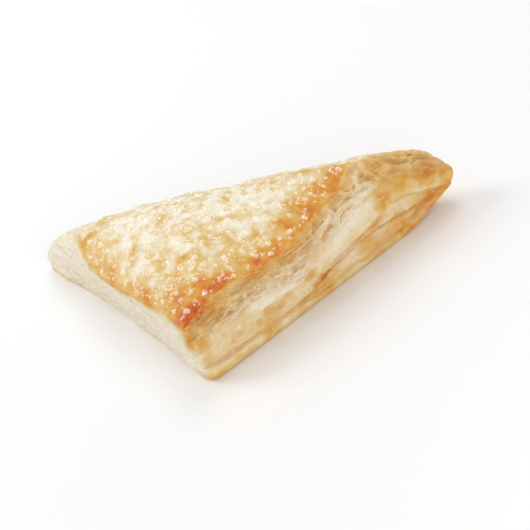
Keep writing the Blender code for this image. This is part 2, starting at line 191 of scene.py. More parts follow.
# Relief that is too fine for the solid
FINE_LAMINA_LENGTH = 0.014
FINE_LAMINA_PITCH = 0.0013
FINE_LAMINA_RELIEF = 0.00026
FINE_CELL_LENGTH = 0.0055
FINE_CELL_HEIGHT = 0.0018
FINE_CELL_RELIEF = 0.001
FINE_WALL = 0.13
FINE_CELL_LEVEL = 0.4
FINE_CELL_CLOSED = 0.65
# How far the fine cells and laminae follow the ridge up, as a share of its height
FINE_CELL_FOLLOW = 0.6
FINE_LAMINA_FOLLOW = 0.5
RIGHT_LAMINAE = 0.6
RIGHT_PITS = 0.5
PIT_SIZE = 0.0022
PIT_EDGE = (0.15, 0.35)
PIT_RELIEF = 0.00035
FLAKE_SLOPE = 0.3
FLAKE_RELIEF = 0.00045
FOLD_FLAKES = 0.9
RIM_ROWS = 12
# The split in the front tip, from one end to the other, with its half width and depth
TIP_SPLIT = (Vector((0.0032, -0.037)), Vector((-0.0022, -0.0466)))
TIP_SPLIT_WIDTH = 0.0009
TIP_SPLIT_DEPTH = 0.0011
TIP_SPLIT_FADE = 0.2

# Painted shade in hollows, as how many faces wide and how deep, and how open the crumb is
SHADES = ((2, 0.0006), (6, 0.002))
HOLLOW_SHADE_DEPTH = 0.0042
LEFT_SHADE = 0.5
SHADE_RIM_FADE = 0.05
LEFT_OPENNESS = 0.35
RIGHT_OPENNESS = (0.05, 0.25, 0.7)

# Browning along the rim, where 0 is the left end, 1 the front corner and 2 the right end
RIM_BROWNING = ((0.0, 0.28), (0.2, 0.38), (0.45, 0.42), (0.75, 0.44), (0.9, 0.56), (1.0, 0.72),
                (1.12, 0.62), (1.3, 0.53), (1.55, 0.54), (1.8, 0.54), (2.0, 0.42), (2.15, 0.26),
                (2.5, 0.06), (2.9, 0.08), (3.0, 0.28))
RIM_BAND = ((0.0, 0.16), (0.45, 0.256), (0.75, 0.352), (1.0, 0.736), (1.2, 0.48), (1.45, 0.416),
            (1.8, 0.48), (2.0, 0.288), (2.5, 0.128), (3.0, 0.128))
RIM_MEAN = 0.92
# Browned patches of the top skin, as x, y, reach and strength
SKIN_PATCHES = ((0.033, 0.001, 0.006, 0.55), (0.0245, -0.016, 0.005, 0.62),
                (0.04, 0.012, 0.0055, 0.52), (0.0455, 0.0205, 0.006, 0.62),
                (0.05, 0.029, 0.005, 0.55), (0.03, -0.008, 0.0045, 0.45),
                (-0.0068, -0.0337, 0.006, 0.62), (-0.013, -0.027, 0.006, 0.55),
                (0.0065, -0.03, 0.004, 0.62), (0.0161, -0.0237, 0.0045, 0.5),
                (-0.002, -0.043, 0.0035, 0.9), (0.007, -0.031, 0.0045, 0.66),
                (-0.007, -0.031, 0.0065, 0.6), (0.0, -0.037, 0.006, 0.6),
                (-0.0494, 0.0035, 0.0055, 0.35), (-0.038, -0.008, 0.0055, 0.34),
                (-0.025, -0.02, 0.005, 0.22), (-0.06, 0.025, 0.005, 0.4),
                (-0.065, 0.032, 0.0045, 0.4), (-0.056, 0.029, 0.0035, 0.3),
                (-0.013, -0.007, 0.003, 0.22), (0.004, -0.0065, 0.003, 0.22),
                (0.02, -0.011, 0.0035, 0.2), (-0.022, -0.0125, 0.004, 0.24))
# Browned patches of the right cut side, as place along it, height, reach and strength; those from 56 to 101
# mm along and 8 to 14 mm up lie in hollows and under the ridge and are painted shade
SIDE_BROWNING_AND_SHADE = ((0.0965, 0.0216, 0.0046, 0.6), (0.116, 0.0204, 0.0042, 0.85),
                (0.1195, 0.0194, 0.0044, 1.0), (0.003, 0.019, 0.006, 0.52),
                (0.0015, 0.0285, 0.005, 0.75), (0.125, 0.016, 0.005, 0.5),
                (0.006, 0.025, 0.007, 0.4), (0.015, 0.0275, 0.008, 0.36),
                (0.129, 0.008, 0.009, 0.7), (0.115, 0.004, 0.01, 0.62),
                (0.102, 0.001, 0.009, 0.58), (0.106, 0.027, 0.012, 0.42),
                (0.101, 0.0095, 0.005, 0.42), (0.09, 0.0135, 0.0045, 0.32),
                (0.085, 0.008, 0.006, 0.34), (0.08, 0.0135, 0.004, 0.3),
                (0.004, 0.01, 0.005, 0.24), (0.056, 0.014, 0.004, 0.36),
                (0.033, 0.002, 0.012, 0.3), (0.06, 0.002, 0.015, 0.3))
# Browned patches across the front corner, as place to its right, height, reach and strength
CORNER_PATCHES = ((-0.0005, 0.0215, 0.0045, 0.6), (0.005, 0.0205, 0.0045, 0.5))
# Golden crumb above the ridge, as places along the cut side and how browned
WEB_BROWNING = ((0.0, 0.18), (0.03, 0.16), (0.055, 0.13), (0.075, 0.08), (0.095, 0.16), (0.13, 0.28))
# Crumb of the right cut side, its ridge, the fold and the top skin; the pale band along the ridge is pale
# dough with a painted highlight on its crest
CUT_BROWNING = 0.14
RIDGE_BROWNING = 0.03
RIDGE_BAND = 0.0035
RIDGE_BAND_RISE = 0.001
FOLD_BROWNING = 0.26
# Paler towards the top of the fold: a painted highlight where the light from behind catches it
FOLD_PALE = (0.45, 0.4)
FOLD_PALING = 0.55
SKIN_BROWNING = 0.1
SKIN_FRONT_BROWNING = 0.2
SKIN_FRONT = (0.01, 0.045)
SKIN_UNDER_PATCHES = 0.3
UNDER_BROWNING = 0.52
UNDER_MOTTLE = 0.6
LOW_EDGE_BROWNING = 0.36
LOW_EDGE_REACH = 0.0045
# Lower edge and hem on the left cut side, the right cut side and the fold
LOW_EDGE_SIDES = (0.4, 1.0, 1.0)
HEM_REACHES = (0.00182, 0.0052, 0.00442)
HEM_BROWNING = 0.95
WALL_MOTTLE = 0.8
# Turns the blotches out of line with the walls
MOTTLE_TURN = Euler((0.6, 0.4, 0.3)).to_matrix()

# Painted shade in the gaps of the right cut side and under its ridge, as places along it and heights, with
# their half width and strength
GAPS = ((((0.054, 0.0088), (0.059, 0.0076), (0.064, 0.0086), (0.069, 0.0098)), 0.001, 1.0),
        (((0.056, 0.01), (0.062, 0.0102), (0.068, 0.01), (0.072, 0.01)), 0.0006, 0.9),
        (((0.066, 0.0098), (0.078, 0.0108), (0.088, 0.0114), (0.104, 0.0102)), 0.0008, 0.9),
        (((0.046, 0.0166), (0.053, 0.0168), (0.06, 0.0166)), 0.0004, 0.45),
        (((0.064, 0.0128), (0.075, 0.0136), (0.088, 0.0146), (0.098, 0.015)), 0.0014, 0.45),
        (((0.047, 0.015), (0.053, 0.0146), (0.058, 0.015)), 0.001, 0.35),
        (((0.002, 0.0064), (0.02, 0.0056), (0.04, 0.0048), (0.062, 0.0042)), 0.0003, 0.4),
        (((0.1, 0.005), (0.112, 0.006), (0.122, 0.0088)), 0.0005, 0.4))
GAP_FADE = 0.004

# Clumps of fine sugar and patches bare of it, as x, y, reach and strength
SUGAR_CLUMPS = ((-0.003, -0.024, 0.0045, 0.9), (0.012, -0.0245, 0.0045, 0.9),
                (-0.0165, -0.0235, 0.004, 0.8), (-0.059, 0.028, 0.004, 0.8),
                (0.0036, 0.0027, 0.009, 0.5), (0.0183, -0.0072, 0.007, 0.5),
                (-0.036, 0.018, 0.008, 0.5), (-0.015, 0.02, 0.01, 0.4),
                (0.026, 0.018, 0.008, 0.4), (0.042, 0.02, 0.006, 0.4))
BARE_PATCHES = ((0.03, -0.01, 0.006, 1.0), (0.025, -0.019, 0.005, 1.0),
                (0.044, 0.008, 0.006, 1.0), (0.052, 0.02, 0.006, 0.8),
                (-0.045, 0.005, 0.007, 0.9), (-0.056, 0.02, 0.006, 0.8),
                (-0.033, -0.011, 0.006, 0.8), (-0.016, -0.027, 0.005, 0.9),
                (-0.004, -0.04, 0.008, 1.0), (0.008, -0.032, 0.005, 1.0),
                (-0.008, -0.031, 0.005, 1.0), (0.034, -0.002, 0.006, 0.9),
                (0.042, 0.013, 0.006, 0.9))
# How densely it lies: at least, in clumps, between crystals and near the rim and the fold
BARENESS = 0.75
SUGAR_LEAST = 0.1
SUGAR_IN_CLUMPS = 0.75
GRAVEL_LEAST = 0.35
SUGAR_RIM = 0.97
SUGAR_RIM_FADE = 0.03
FOLD_SUGAR = 0.5
FOLD_SUGAR_FOOT = 0.62

# Points of the outlines and profiles that the faces are picked from
LOOP_SAMPLES = 600
PROFILE_SAMPLES = 160
OUTWARD_REACH = 7
SHARPEST = 0.0006
CORNER_BLEND = 0.05

# Grains of coarse sugar on the top skin
GRAINS = 140
GRAIN_SEED = 23
GRAIN_TRIES = 24
GRAIN_SUNK = 0.34
GRAIN_SIZE_FALL = 0.6
GRAIN_RIM_STEP = 3
GRAIN_WIDTH = (0.7, 1.0)
GRAIN_HEIGHT = (0.55, 0.85)
GRAIN_CORNER_REACH = (0.72, 1.0)
GRAIN_MARGIN = 0.95
# Least gap between fine crystals, as a share of their size
CRYSTAL_GAP = 0.8
# How far the fine crystals' corners are knocked about, their turn and their stretch, with seeds
CRYSTAL_KNOCK = ((-0.16, -0.16, -0.16), (0.16, 0.16, 0.16), 3)
CRYSTAL_TURN = ((0, 0, 0), (2 * pi, 2 * pi, 2 * pi), 5)
CRYSTAL_STRETCH = ((0.55, 0.5, 0.45), (1.3, 1.1, 0.9), 9)

# Layers that stand out of the cut sides, as lengths in stations, ranges round the rim and up the wall
LEAF_LENGTHS = (6, 8, 10, 14, 18, 24)
LEAF_RANGE = ((0.05, 0.8), (1.02, 1.78))
LEAF_ROWS = ((0.1, 0.9), (0.52, 0.92))
LEAF_SLOPE = 0.02
LEAF_WANDER = 0.05
LEAF_BEND = 0.11
LEAF_REACH = (0.35, 1.0)
LEAF_DROOP = (-0.5, 0.3)
LEAF_MEAN = 0.65
LEAF_RAGGED = 0.7
LEAF_TOOTH = 0.45
LEAF_ROOT = 0.0006
LEAF_BROWNING = (0.0, 0.1)
LEAF_TIP_BROWNING = 1.6

# Sizes of the materials' patterns: blotches, grit, crumb, clouds in sugar, floor haze, pockets and fibres
BLOTCH_SIZE = 0.0032
GRIT_SIZE = 0.0007
CRUMB_SIZE = 0.0009
CRUMB_DEPTH = 0.0003
SUGAR_COLOUR = "#fffcf6"
CLOUD_SIZE = 0.0008
HAZE_SIZE = 0.05
POCKET_SIZE = Vector((0.0042, 0.0042, 0.0012))
FIBRE_SIZE = Vector((0.008, 0.008, 0.0007))
FIBRE_DEPTH = 0.00025
# How the patterns act on the bake, the painted shade in the hollows, the gloss and the light inside
BAKE_STOPS = (0.0, 0.22, 0.48, 0.75, 1.0)
NOISE_SPAN = (0.3, 0.7)
BLOTCH_RANGE = (0.72, 1.28)
GRIT_RANGE = (0.86, 1.14)
POCKET_WALL = (0.05, 0.17)
POCKET_SHADE = 0.48
HOLLOW_SHADE = 0.85
PALE_ROUGHNESS = 0.62
BAKED_ROUGHNESS = 0.42
CRUMB_STRENGTH = 0.55
FIBRE_STRENGTH = 0.7
PASTRY_IOR = 1.45
DOUGH_TRANSLUCENCE = 0.2
DOUGH_GLOW = (1.0, 0.75, 0.5)
DOUGH_GLOW_REACH = 0.0012
SUGAR_IOR = 1.54
SUGAR_ROUGHNESS = (0.04, 0.16)
SUGAR_ALPHA = 0.42
SUGAR_SHADOW = 0.06
FLOOR_ROUGHNESS = (0.28, 0.36)
LACQUER_IOR = 1.45

# Lamps, and the camera at the photograph's viewing angle
LIT_PLACE = Vector((0, 0, 0.01))
KEY_PLACE = Vector((-0.66, 0.1, 0.6))
KEY_SIZE = 0.4
KEY_TINT = "#ffffff"
TOP_PLACE = Vector((0.1, 0.5, 0.8))
TOP_SIZE = 0.5
TOP_TINT = "#fffefb"
FILL_PLACE = Vector((0.5, -0.6, 0.35))
FILL_SIZE = 0.5
FILL_TINT = "#fff2de"
# Brightness of the room from the walls at eye level up to the ceiling, and how far up it evens out
WALL_GLOW = 1.16
CEILING_GLOW = 0.54
CEILING_START = 0.5
VIEW_AZIMUTH = radians(22.7)
VIEW_RISE = radians(35.61)
VIEW_ROLL = radians(23.4)
VIEW_DISTANCE = 0.7
VIEW_AIM = Vector((0.0149, 0.01014, 0.00713))
LENS = 118.56
SENSOR = 36.0


def linear_of(hex_colour):
    """The linear values of an sRGB hex colour."""
    channels = [int(hex_colour[i:i + 2], 16) / 255 for i in (1, 3, 5)]
    return tuple(c / 12.92 if c <= 0.04045 else ((c + 0.055) / 1.055) ** 2.4 for c in channels)


def length_of(name, description, default, most):
    """A length that a user may change, up to the most given."""
    return FloatProperty(name=name, description=description, default=default, min=0, max=most,
                         precision=4, unit="LENGTH")


def colour_of(name, description, hex_colour):
    """A colour that a user may change."""
    return FloatVectorProperty(name=name, description=description, default=linear_of(hex_colour),
                               size=3, min=0, max=1, subtype="COLOR")


def share_of(name, description, default, most=1.0):
    """A share or factor that a user may change."""
    return FloatProperty(name=name, description=description, default=default, min=0, max=most,
                         subtype="FACTOR")


class DoughSettings(PropertyGroup):
    """The form of the folded and baked dough"""

    edge: length_of("Dough edge", "Side of the square of dough before it is folded", 0.133, 0.2)
    crown_height: length_of("Crown height", "Height of the top skin at its middle", 0.0355, 0.06)
    curl_height: length_of("Curl height", "Height of the right tip's lower edge", 0.0065, 0.02)
    fold_bulge: length_of("Fold bulge", "How far the rolled fold stands out at the back", 0.0062, 0.01)
    ridge_relief: length_of("Ridge relief", "How far the long ridge of the right cut side stands out",
                            0.004, 0.005)
    columns: IntProperty(name="Columns", description="Faces along each side of the pastry",
                         default=200, min=12, max=210)
    rows: IntProperty(name="Rows", description="Faces up the wall", default=100, min=12, max=110)
    under_rows: IntProperty(name="Underside rows", description="Rings of faces on the underside",
                            default=8, min=2, max=12)


class BakeSettings(PropertyGroup):
    """The colours of the baked dough"""

    dough: colour_of("Dough", "Pale crumb that has barely coloured", "#efe8d6")
    straw: colour_of("Straw", "First colour of the bake", "#dfc384")
    golden: colour_of("Golden", "Well baked crust", "#d99e38")
    amber: colour_of("Amber", "Browned patches", "#d5811e")
    russet: colour_of("Russet", "Darkest edges and blisters", "#c95e15")
    # Painted shade: the colour that hollows and open crumb are darkened towards
    hollow: colour_of("Hollow", "Crumb inside the hollows", "#e1b77b")
    # Painted shade: the colour that the deepest gaps are darkened towards
    crevice: colour_of("Crevice", "Deepest gaps between the layers", "#c8702c")
    browning: share_of("Browning", "How far the crust has browned", 1.0, 1.5)


class SugarSettings(PropertyGroup):
    """The sugar on the top skin"""

    largest: length_of("Largest grain", "Length of the largest coarse grain", 0.0027, 0.004)
    smallest: length_of("Smallest grain", "Length of the smallest coarse grain", 0.0014, 0.004)
    crystal: length_of("Crystal", "Edge of a middling fine crystal", 0.0011, 0.002)
    density: FloatProperty(name="Density", description="Fine crystals on a square metre in a clump",
                           default=1.3e6, min=0, max=1e7)
    seed: IntProperty(name="Seed", description="Changes where the fine crystals fall", default=7, min=0)


class LeafSettings(PropertyGroup):
    """The thin layers that stand out of the cut sides"""

    count: IntProperty(name="Leaves", description="Thin layers that stand out of each cut side",
                       default=34, min=0, max=200)
    reach: length_of("Reach", "How far the widest leaf stands out", 0.0008, 0.002)
    thickness: length_of("Thickness", "Thickness of a leaf", 0.00022, 0.001)
    seed: IntProperty(name="Seed", description="Changes the leaves", default=11, min=0)


class StudioSettings(PropertyGroup):
    """The floor and the light"""

    floor_size: length_of("Floor size", "Side of the floor", 6.0, 20.0)
    floor_colour: colour_of("Floor", "Glossy white floor", "#f9fafc")
    key_power: FloatProperty(name="Key power", description="Large lamp behind and to the left",
                             default=2.45, min=0, unit="POWER")
    top_power: FloatProperty(name="Top power", description="Soft lamp high up behind the pastry",
                             default=1.8, min=0, unit="POWER")
    fill_power: FloatProperty(name="Fill power", description="Warm lamp low in front of the right cut side",
                              default=1.7, min=0, unit="POWER")
    sky: share_of("Sky", "Brightness of the white walls of the room", 1.05, 3.0)


def curve(points, at):
    """The value at each place of a smooth line through a few points."""
    place, value = np.array(points, float).T
    slope = np.gradient(value, place)
    at = np.clip(at, place[0], place[-1])
    i = np.clip(np.searchsorted(place, at) - 1, 0, len(place) - 2)
    width = place[i + 1] - place[i]
    f = (at - place[i]) / width
    start = (1 + 2 * f) * (1 - f) ** 2 * value[i] + f * (1 - f) ** 2 * width * slope[i]
    end = f ** 2 * (3 - 2 * f) * value[i + 1] - f ** 2 * (1 - f) * width * slope[i + 1]
    return start + end


def ease(x):
    """0 below 0, 1 above 1 and a smooth step between."""
    x = np.clip(x, 0, 1)
    return x * x * (3 - 2 * x)


def rise(x, start, width):
    """A smooth step up from 0 at the start, over a width."""
    return ease((x - start) / width)


def fall(x, end, width):
    """A smooth step down to 0 at the end, over a width."""
    return ease((end - x) / width)


def swell(points, size, offset):
    """Smooth noise from -1 to 1 whose bumps have about this size."""
    shift = Vector((offset, -offset, 0.37 * offset))
    return np.array([noise.noise(Vector(p) / size + shift) for p in points])


def ripple(points, *waves, shift=0):
    """Noise in waves, each given as how much, the size of its bumps and its offset in the noise."""
    return sum(amount * swell(points, size, offset + shift) for amount, size, offset in waves)


def spots_at(place, height):
    """Points for the noise of a cut side, from places along it and heights."""
    return np.stack([place, height, 0 * place], axis=1)


def cell_gaps(points, offset):
    """How far each point is from the walls between irregular cells of size 1."""
    near = [noise.voronoi(Vector((*p, offset)))[0] for p in points]
    return np.array([distance[1] - distance[0] for distance in near])


def rounded(loop, radius):
    """A closed loop of points, averaged over about this length so that its corners turn round."""
    step = np.linalg.norm(loop - np.roll(loop, 1, axis=0), axis=1).mean()
    reach = int(3 * radius / step)
    shifts = np.arange(-reach, reach + 1)
    weights = np.exp(-0.5 * (shifts * step / radius) ** 2)
    total = sum(w * np.roll(loop, k, axis=0) for k, w in zip(shifts, weights))
    return total / weights.sum()


def along_cut(place, inset, height, side):
    """Points on a cut side, side -1 left or 1 right, from places along it, insets and heights."""
    x = FRONT_X + side * (place - inset) / sqrt(2)
    y = FRONT_Y + (place + inset) / sqrt(2)
    return np.stack([x, y, height + 0 * x], axis=1)


def base_loop(dough):
    """The lower edge, from the left end by the front corner to the right end and back along the fold."""
    t = np.arange(LOOP_SAMPLES) / LOOP_SAMPLES
    half_fold = dough.edge / sqrt(2)
    curl_right = dough.curl_height * rise(dough.edge * t, CURL_START, CURL_LENGTH)
    curl_back = dough.curl_height * fall(2 * half_fold * t, dough.edge - CURL_START, CURL_LENGTH)
    from_front = dough.edge * (1 - t)
    left = along_cut(from_front, curve(LEFT_BASE_INSET, from_front), 0, -1)
    right = along_cut(dough.edge * t, 0 * t, curl_right, 1)
    fold_y = FRONT_Y + half_fold - FOLD_TUCK * np.sin(np.pi * t)
    back = np.stack([FRONT_X + half_fold * (1 - 2 * t), fold_y, curl_back], axis=1)
    return rounded(np.concatenate([left, right, back]), BASE_CORNER_RADIUS)


def rim_loop(dough):
    """The edge of the top skin, in the same order and with the same number of points."""
    t = np.arange(LOOP_SAMPLES) / LOOP_SAMPLES
    from_front = dough.edge * (1 - t)
    left_place = from_front * (1 - RIM_LEFT_SHARE * (1 - t) ** 2)
    left = along_cut(left_place, curve(LEFT_RIM_INSET, left_place),
                     curve(LEFT_RIM_HEIGHT, left_place), -1)
    right_place = dough.edge * t * (1 - RIM_RIGHT_SHARE * t ** 2)
    right = along_cut(right_place, curve(RIGHT_RIM_INSET, right_place),
                      curve(RIGHT_RIM_HEIGHT, right_place), 1)
    right_end = along_cut(np.array([dough.edge * (1 - RIM_RIGHT_SHARE)]),
                          RIGHT_RIM_INSET[-1][1], 0, 1)[0]
    x, y = right_end[:2, None] + (left[0, :2] - right_end[:2])[:, None] * t
    back = np.stack([x, y + BACK_RIM_BOW * np.sin(np.pi * t), curve(BACK_RIM_HEIGHT, t)], axis=1)
    return rounded(np.concatenate([left, right, back]), RIM_CORNER_RADIUS)


def outward_of(loop):
    """The level direction that points out of a loop at each of its points."""
    along = np.roll(loop, -OUTWARD_REACH, axis=0) - np.roll(loop, OUTWARD_REACH, axis=0)
    out = np.stack([along[:, 1], -along[:, 0], 0 * along[:, 0]], axis=1)
    return out / np.linalg.norm(out, axis=1)[:, None]


def squareness_loop():
    """How square the wall stands at each point of the loops."""
    t = np.arange(LOOP_SAMPLES) / LOOP_SAMPLES
    less = LEFT_SQUARENESS - RIGHT_SQUARENESS
    back = RIGHT_SQUARENESS + less * rise(t, *SQUARENESS_CHANGE)
    sides = [0 * t + LEFT_SQUARENESS, 0 * t + RIGHT_SQUARENESS, back]
    return rounded(np.concatenate(sides)[:, None], SQUARENESS_BLEND)[:, 0]


def bulge_loop(dough):
    """How far the wall bulges out half way up at each point of the loops."""
    t = np.arange(LOOP_SAMPLES) / LOOP_SAMPLES
    cut = np.full(LOOP_SAMPLES, CUT_BULGE)
    return np.concatenate([cut, cut, CUT_BULGE + dough.fold_bulge * np.sin(np.pi * t) ** BULGE_LENGTHWISE])


def rounding_loop(dough):
    """Radius of the lower edge at each point of the loops, smaller at the two sharp tips."""
    t = np.arange(LOOP_SAMPLES) / LOOP_SAMPLES
    fold = sqrt(2) * dough.edge
    from_tip = np.concatenate([dough.edge * t, dough.edge * (1 - t), fold * np.minimum(t, 1 - t)])
    return TIP_ROUNDING + (EDGE_ROUNDING - TIP_ROUNDING) * ease(from_tip / TIP_LENGTH)


def wall_profile(base, rim, out, squareness, bulge, rounding, rows):
    """Evenly spaced points up the wall from its rounded lower edge to its rim."""
    turn = np.linspace(0, np.pi / 2, PROFILE_SAMPLES)[:, None]
    across = 1 - np.cos(turn) ** (2 / squareness)
    up = np.clip(np.sin(turn) ** (2 / squareness), 0, 1)
    points = base + (rim - base) * np.concatenate([across, across, up], axis=1)
    points += out * bulge * np.sin(np.pi * up) ** BULGE_UPWARD
    short = np.clip(rounding - (points[:, 2:] - base[2]), 0, rounding)
    points -= out * (rounding - np.sqrt(rounding ** 2 - short ** 2))
    length = np.concatenate([[0], np.cumsum(np.linalg.norm(np.diff(points, axis=0), axis=1))])
    even = np.linspace(0, length[-1], rows + 1)
    return np.stack([np.interp(even, length, points[:, k]) for k in range(3)], axis=1)


def plain_wall(dough):
    """Points of the wall without its relief, as rows from the base up."""
    base, rim = base_loop(dough), rim_loop(dough)
    shapes = list(zip(base, rim, outward_of(base), squareness_loop(), bulge_loop(dough),
                      rounding_loop(dough)))
    picked = np.arange(3 * dough.columns) * LOOP_SAMPLES // dough.columns
    return np.array([wall_profile(*shapes[i], dough.rows) for i in picked]).transpose(1, 0, 2)


def on_edges(edge):
    """How much of the left cut side, the right cut side and the fold each place on the rim has."""
    left_of_fold = np.where(edge < 1.5, edge, edge - 3)
    past_left = ease(left_of_fold / CORNER_BLEND + 0.5)
    past_front = ease((edge - 1) / CORNER_BLEND + 0.5)
    past_right = ease((edge - 2) / CORNER_BLEND + 0.5)
    right = past_front * (1 - past_right)
    back = (1 - past_left) * np.where(edge < 1.5, 1, past_right)
    return 1 - right - back, right, back


class Wall:
    """The plain wall, with each point's place along both cut sides, up the wall and round the rim."""

    def __init__(self, dough):
        self.grid = plain_wall(dough)
        rows, count = self.grid.shape[:2]
        self.points = self.grid.reshape(-1, 3)
        self.height = self.points[:, 2]
        self.from_foot = self.height - np.tile(self.grid[0, :, 2], rows)
        self.share = np.repeat(np.linspace(0, 1, rows), count)
        length = np.linalg.norm(np.diff(self.grid, axis=0), axis=2).sum(axis=0)
        self.from_rim = (1 - self.share) * np.tile(length, rows)
        aside, behind = self.points[:, 0] - FRONT_X, self.points[:, 1] - FRONT_Y
        self.left_place, self.right_place = (behind - aside) / sqrt(2), (behind + aside) / sqrt(2)
        self.edge = np.tile(np.arange(count) / dough.columns, rows)
        self.on_left, self.on_right, self.on_back = on_edges(self.edge)

    def by_side(self, left, right, back):
        """One value for each side, blended round the corners."""
        return left * self.on_left + right * self.on_right + back * self.on_back


def normals_of(grid):
    """Outward normals of a grid whose columns close on themselves."""
    around = np.roll(grid, -1, axis=1) - np.roll(grid, 1, axis=1)
    normal = np.cross(around, np.gradient(grid, axis=0))
    return normal / np.linalg.norm(normal, axis=2)[:, :, None]


def shelf(height, low, high, relief):
    """A layer that starts abruptly above low and fades out towards high."""
    start = ease((height - low) / SHARPEST + 0.5)
    return relief * start * fall(height, high, np.maximum(SHELF_FADE * (high - low), SHARPEST))


def hollow_relief(place, height):
    """The named hollows and blisters of the right cut side."""
    relief = np.zeros_like(place)
    spots = spots_at(place, height)
    along = place + ripple(spots, HOLLOW_BENDS[0])
    up = height + ripple(spots, HOLLOW_BENDS[1])
    for at, level, half_length, half_height, depth in HOLLOWS:
        reach = np.hypot((along - at) / half_length, (up - level) / half_height)
        inside = (1 - reach) * half_height
        relief -= depth * ease(inside / HOLLOW_EDGE)
        if depth > 0:
            relief += HOLLOW_RIM * np.exp(-(inside / HOLLOW_RIM_WIDTH) ** 2)
    return relief


def fine_web(place, height, offset):
    """Small open cells and their thin walls, bent about so that no two rows are alike."""
    bent = height + ripple(spots_at(place, height), *FINE_CELL_BENDS, shift=offset)
    cells = np.stack([place / FINE_CELL_LENGTH, bent / FINE_CELL_HEIGHT], axis=1)
    return FINE_CELL_RELIEF * (np.exp(-cell_gaps(cells, offset) / FINE_WALL) - FINE_CELL_LEVEL)


def fine_laminae(place, height, offset):
    """Thin layers seen on edge, which run along a cut side and come and go."""
    spots = spots_at(place / FINE_LAMINA_LENGTH, height / FINE_LAMINA_PITCH)
    return FINE_LAMINA_RELIEF * (1 - 2 * np.abs(swell(spots, 1, offset)))


def pits(place, height, offset):
    """Small round holes of the crumb."""
    return -PIT_RELIEF * rise(swell(spots_at(place, height), PIT_SIZE, offset), *PIT_EDGE)


def stacked_layers(height, levels, foot, full, fade, line, wave, strength, change):
    """Layers one above another, from a foot up, that wander and come and go along a cut side."""
    steps = np.zeros_like(height)
    for number, level in enumerate(levels):
        low = foot + level * full + ripple(line, wave, shift=number)
        relief = strength + ripple(line, change, shift=number)
        steps = np.maximum(steps, shelf(height, low, low + fade, relief))
    return steps


def right_cut_relief(dough, place, height, share):
    """Relief of the right cut side from places along it, heights and shares of its height."""
    crest, ridge_low, flap_low, lip_top = (
        curve(line, place) for line in (RIDGE_CREST, RIDGE_EDGE, FLAP_EDGE, LIP_TOP))
    spots, line = spots_at(place, height), spots_at(place, 0 * place)
    ridge_on = rise(place, *RIDGE_START)
    flap_on = rise(place, *FLAP_START) * fall(place, *FLAP_END)
    ridge = shelf(height, ridge_low, 2 * crest - ridge_low, dough.ridge_relief * ridge_on)
    flap = shelf(height, flap_low, crest, FLAP_RELIEF * flap_on)
    lip = LIP_RELIEF * ease((lip_top + ripple(line, LIP_WAVE) - height) / SHARPEST + 0.5)
    layers = np.maximum.reduce([ridge, flap, lip]) - WALL_DEPTH
    crevice = ease((height - flap_low + CREVICE_REACH) / CREVICE_REACH)
    crevice *= CREVICE_RELIEF * flap_on * ease((flap_low - height) / SHARPEST + 0.5)
    bent = height - crest + ripple(spots, CELL_BEND)
    cells = np.stack([place / CELL_LENGTH, bent / CELL_HEIGHT], axis=1)
    thin, deep = CELL_WALL
    web = CELL_RELIEF * (CELL_LEVEL - rise(cell_gaps(cells, CELL_OFFSET), thin, deep - thin))
    below_rim = ease((1 - share) / RIM_FADE)
    open_crumb = rise(height, crest, CELL_HEIGHT) * below_rim
    steps = stacked_layers(height, RIGHT_LAYERS, crest, curve(RIGHT_RIM_HEIGHT, place) - crest,
                           RIGHT_LAYER_FADE, line, RIGHT_LAYER_WAVE, *RIGHT_LAYER_RELIEF)
    steps *= below_rim * (0.5 + 0.5 * rise(place, *RIGHT_LAYER_START))
    smooth = fall(height, crest + SMOOTH_ABOVE, SMOOTH_TOP) * rise(height, ridge_low, SMOOTH_FOOT) * ridge_on
    fine = fine_web(place, height - FINE_CELL_FOLLOW * crest, 21)
    fine *= FINE_CELL_CLOSED + (1 - FINE_CELL_CLOSED) * open_crumb
    fine += RIGHT_LAMINAE * fine_laminae(place, height - FINE_LAMINA_FOLLOW * crest, 24)
    fine += RIGHT_PITS * pits(place, height, 27)
    fine *= (1 - RIDGE_SMOOTHNESS * smooth) * ease((height - lip_top) / LIP_FADE + 0.3)
    return layers + steps - crevice + web * open_crumb + hollow_relief(place, height) + fine


def left_cut_relief(place, height, share):
    """Relief of the left cut side, whose thin layers run the length of it."""
    full = height / np.maximum(share, 0.05)
    steps = stacked_layers(height, LEFT_LAYERS, 0, full, LEFT_LAYER_FADE * full,
                           spots_at(place, 0 * place), LEFT_LAYER_WAVE, *LEFT_LAYER_RELIEF)
    web, laminae, holes = LEFT_CRUMB
    fine = web * fine_web(place, height, 31) + laminae * fine_laminae(place, height, 34)
    return steps - LEFT_LAYER_DEPTH + fine + holes * pits(place, height, 37)


def flake_relief(points, offset):
    """Steps where one thin layer of the skin ends on another."""
    level = ripple(points, *FLAKE_WAVES, shift=offset)
    below = np.floor(level)
    return FLAKE_RELIEF * (below + ease((level - below - 0.5) / FLAKE_SLOPE + 0.5) - level)


def wall_relief(dough, wall):
    """How far each point of the wall stands out of its plain form."""
    points, flat = wall.points, wall.points * [1, 1, 0]
    left = left_cut_relief(wall.left_place, wall.height, wall.share)
    right = right_cut_relief(dough, wall.right_place, wall.height, wall.share)
    back = ripple(points, *FOLD_SWELLS, *BLISTERS) + FOLD_FLAKES * flake_relief(points, 57)
    relief = wall.by_side(left, right, back)
    thickness = SKIN_THICKNESS * (1 + ripple(flat, RAGGED_HEM))
    hem = ease((thickness - wall.from_rim) / HEM_FADE + 0.5) * (1 - wall.on_back)
    relief += (SKIN_OVERHANG + ripple(flat, RAGGED_RIM) - relief) * hem
    relief *= ease(wall.from_foot / (EDGE_ROUNDING + wall.height - wall.from_foot))
    return relief.reshape(wall.grid.shape[:2])


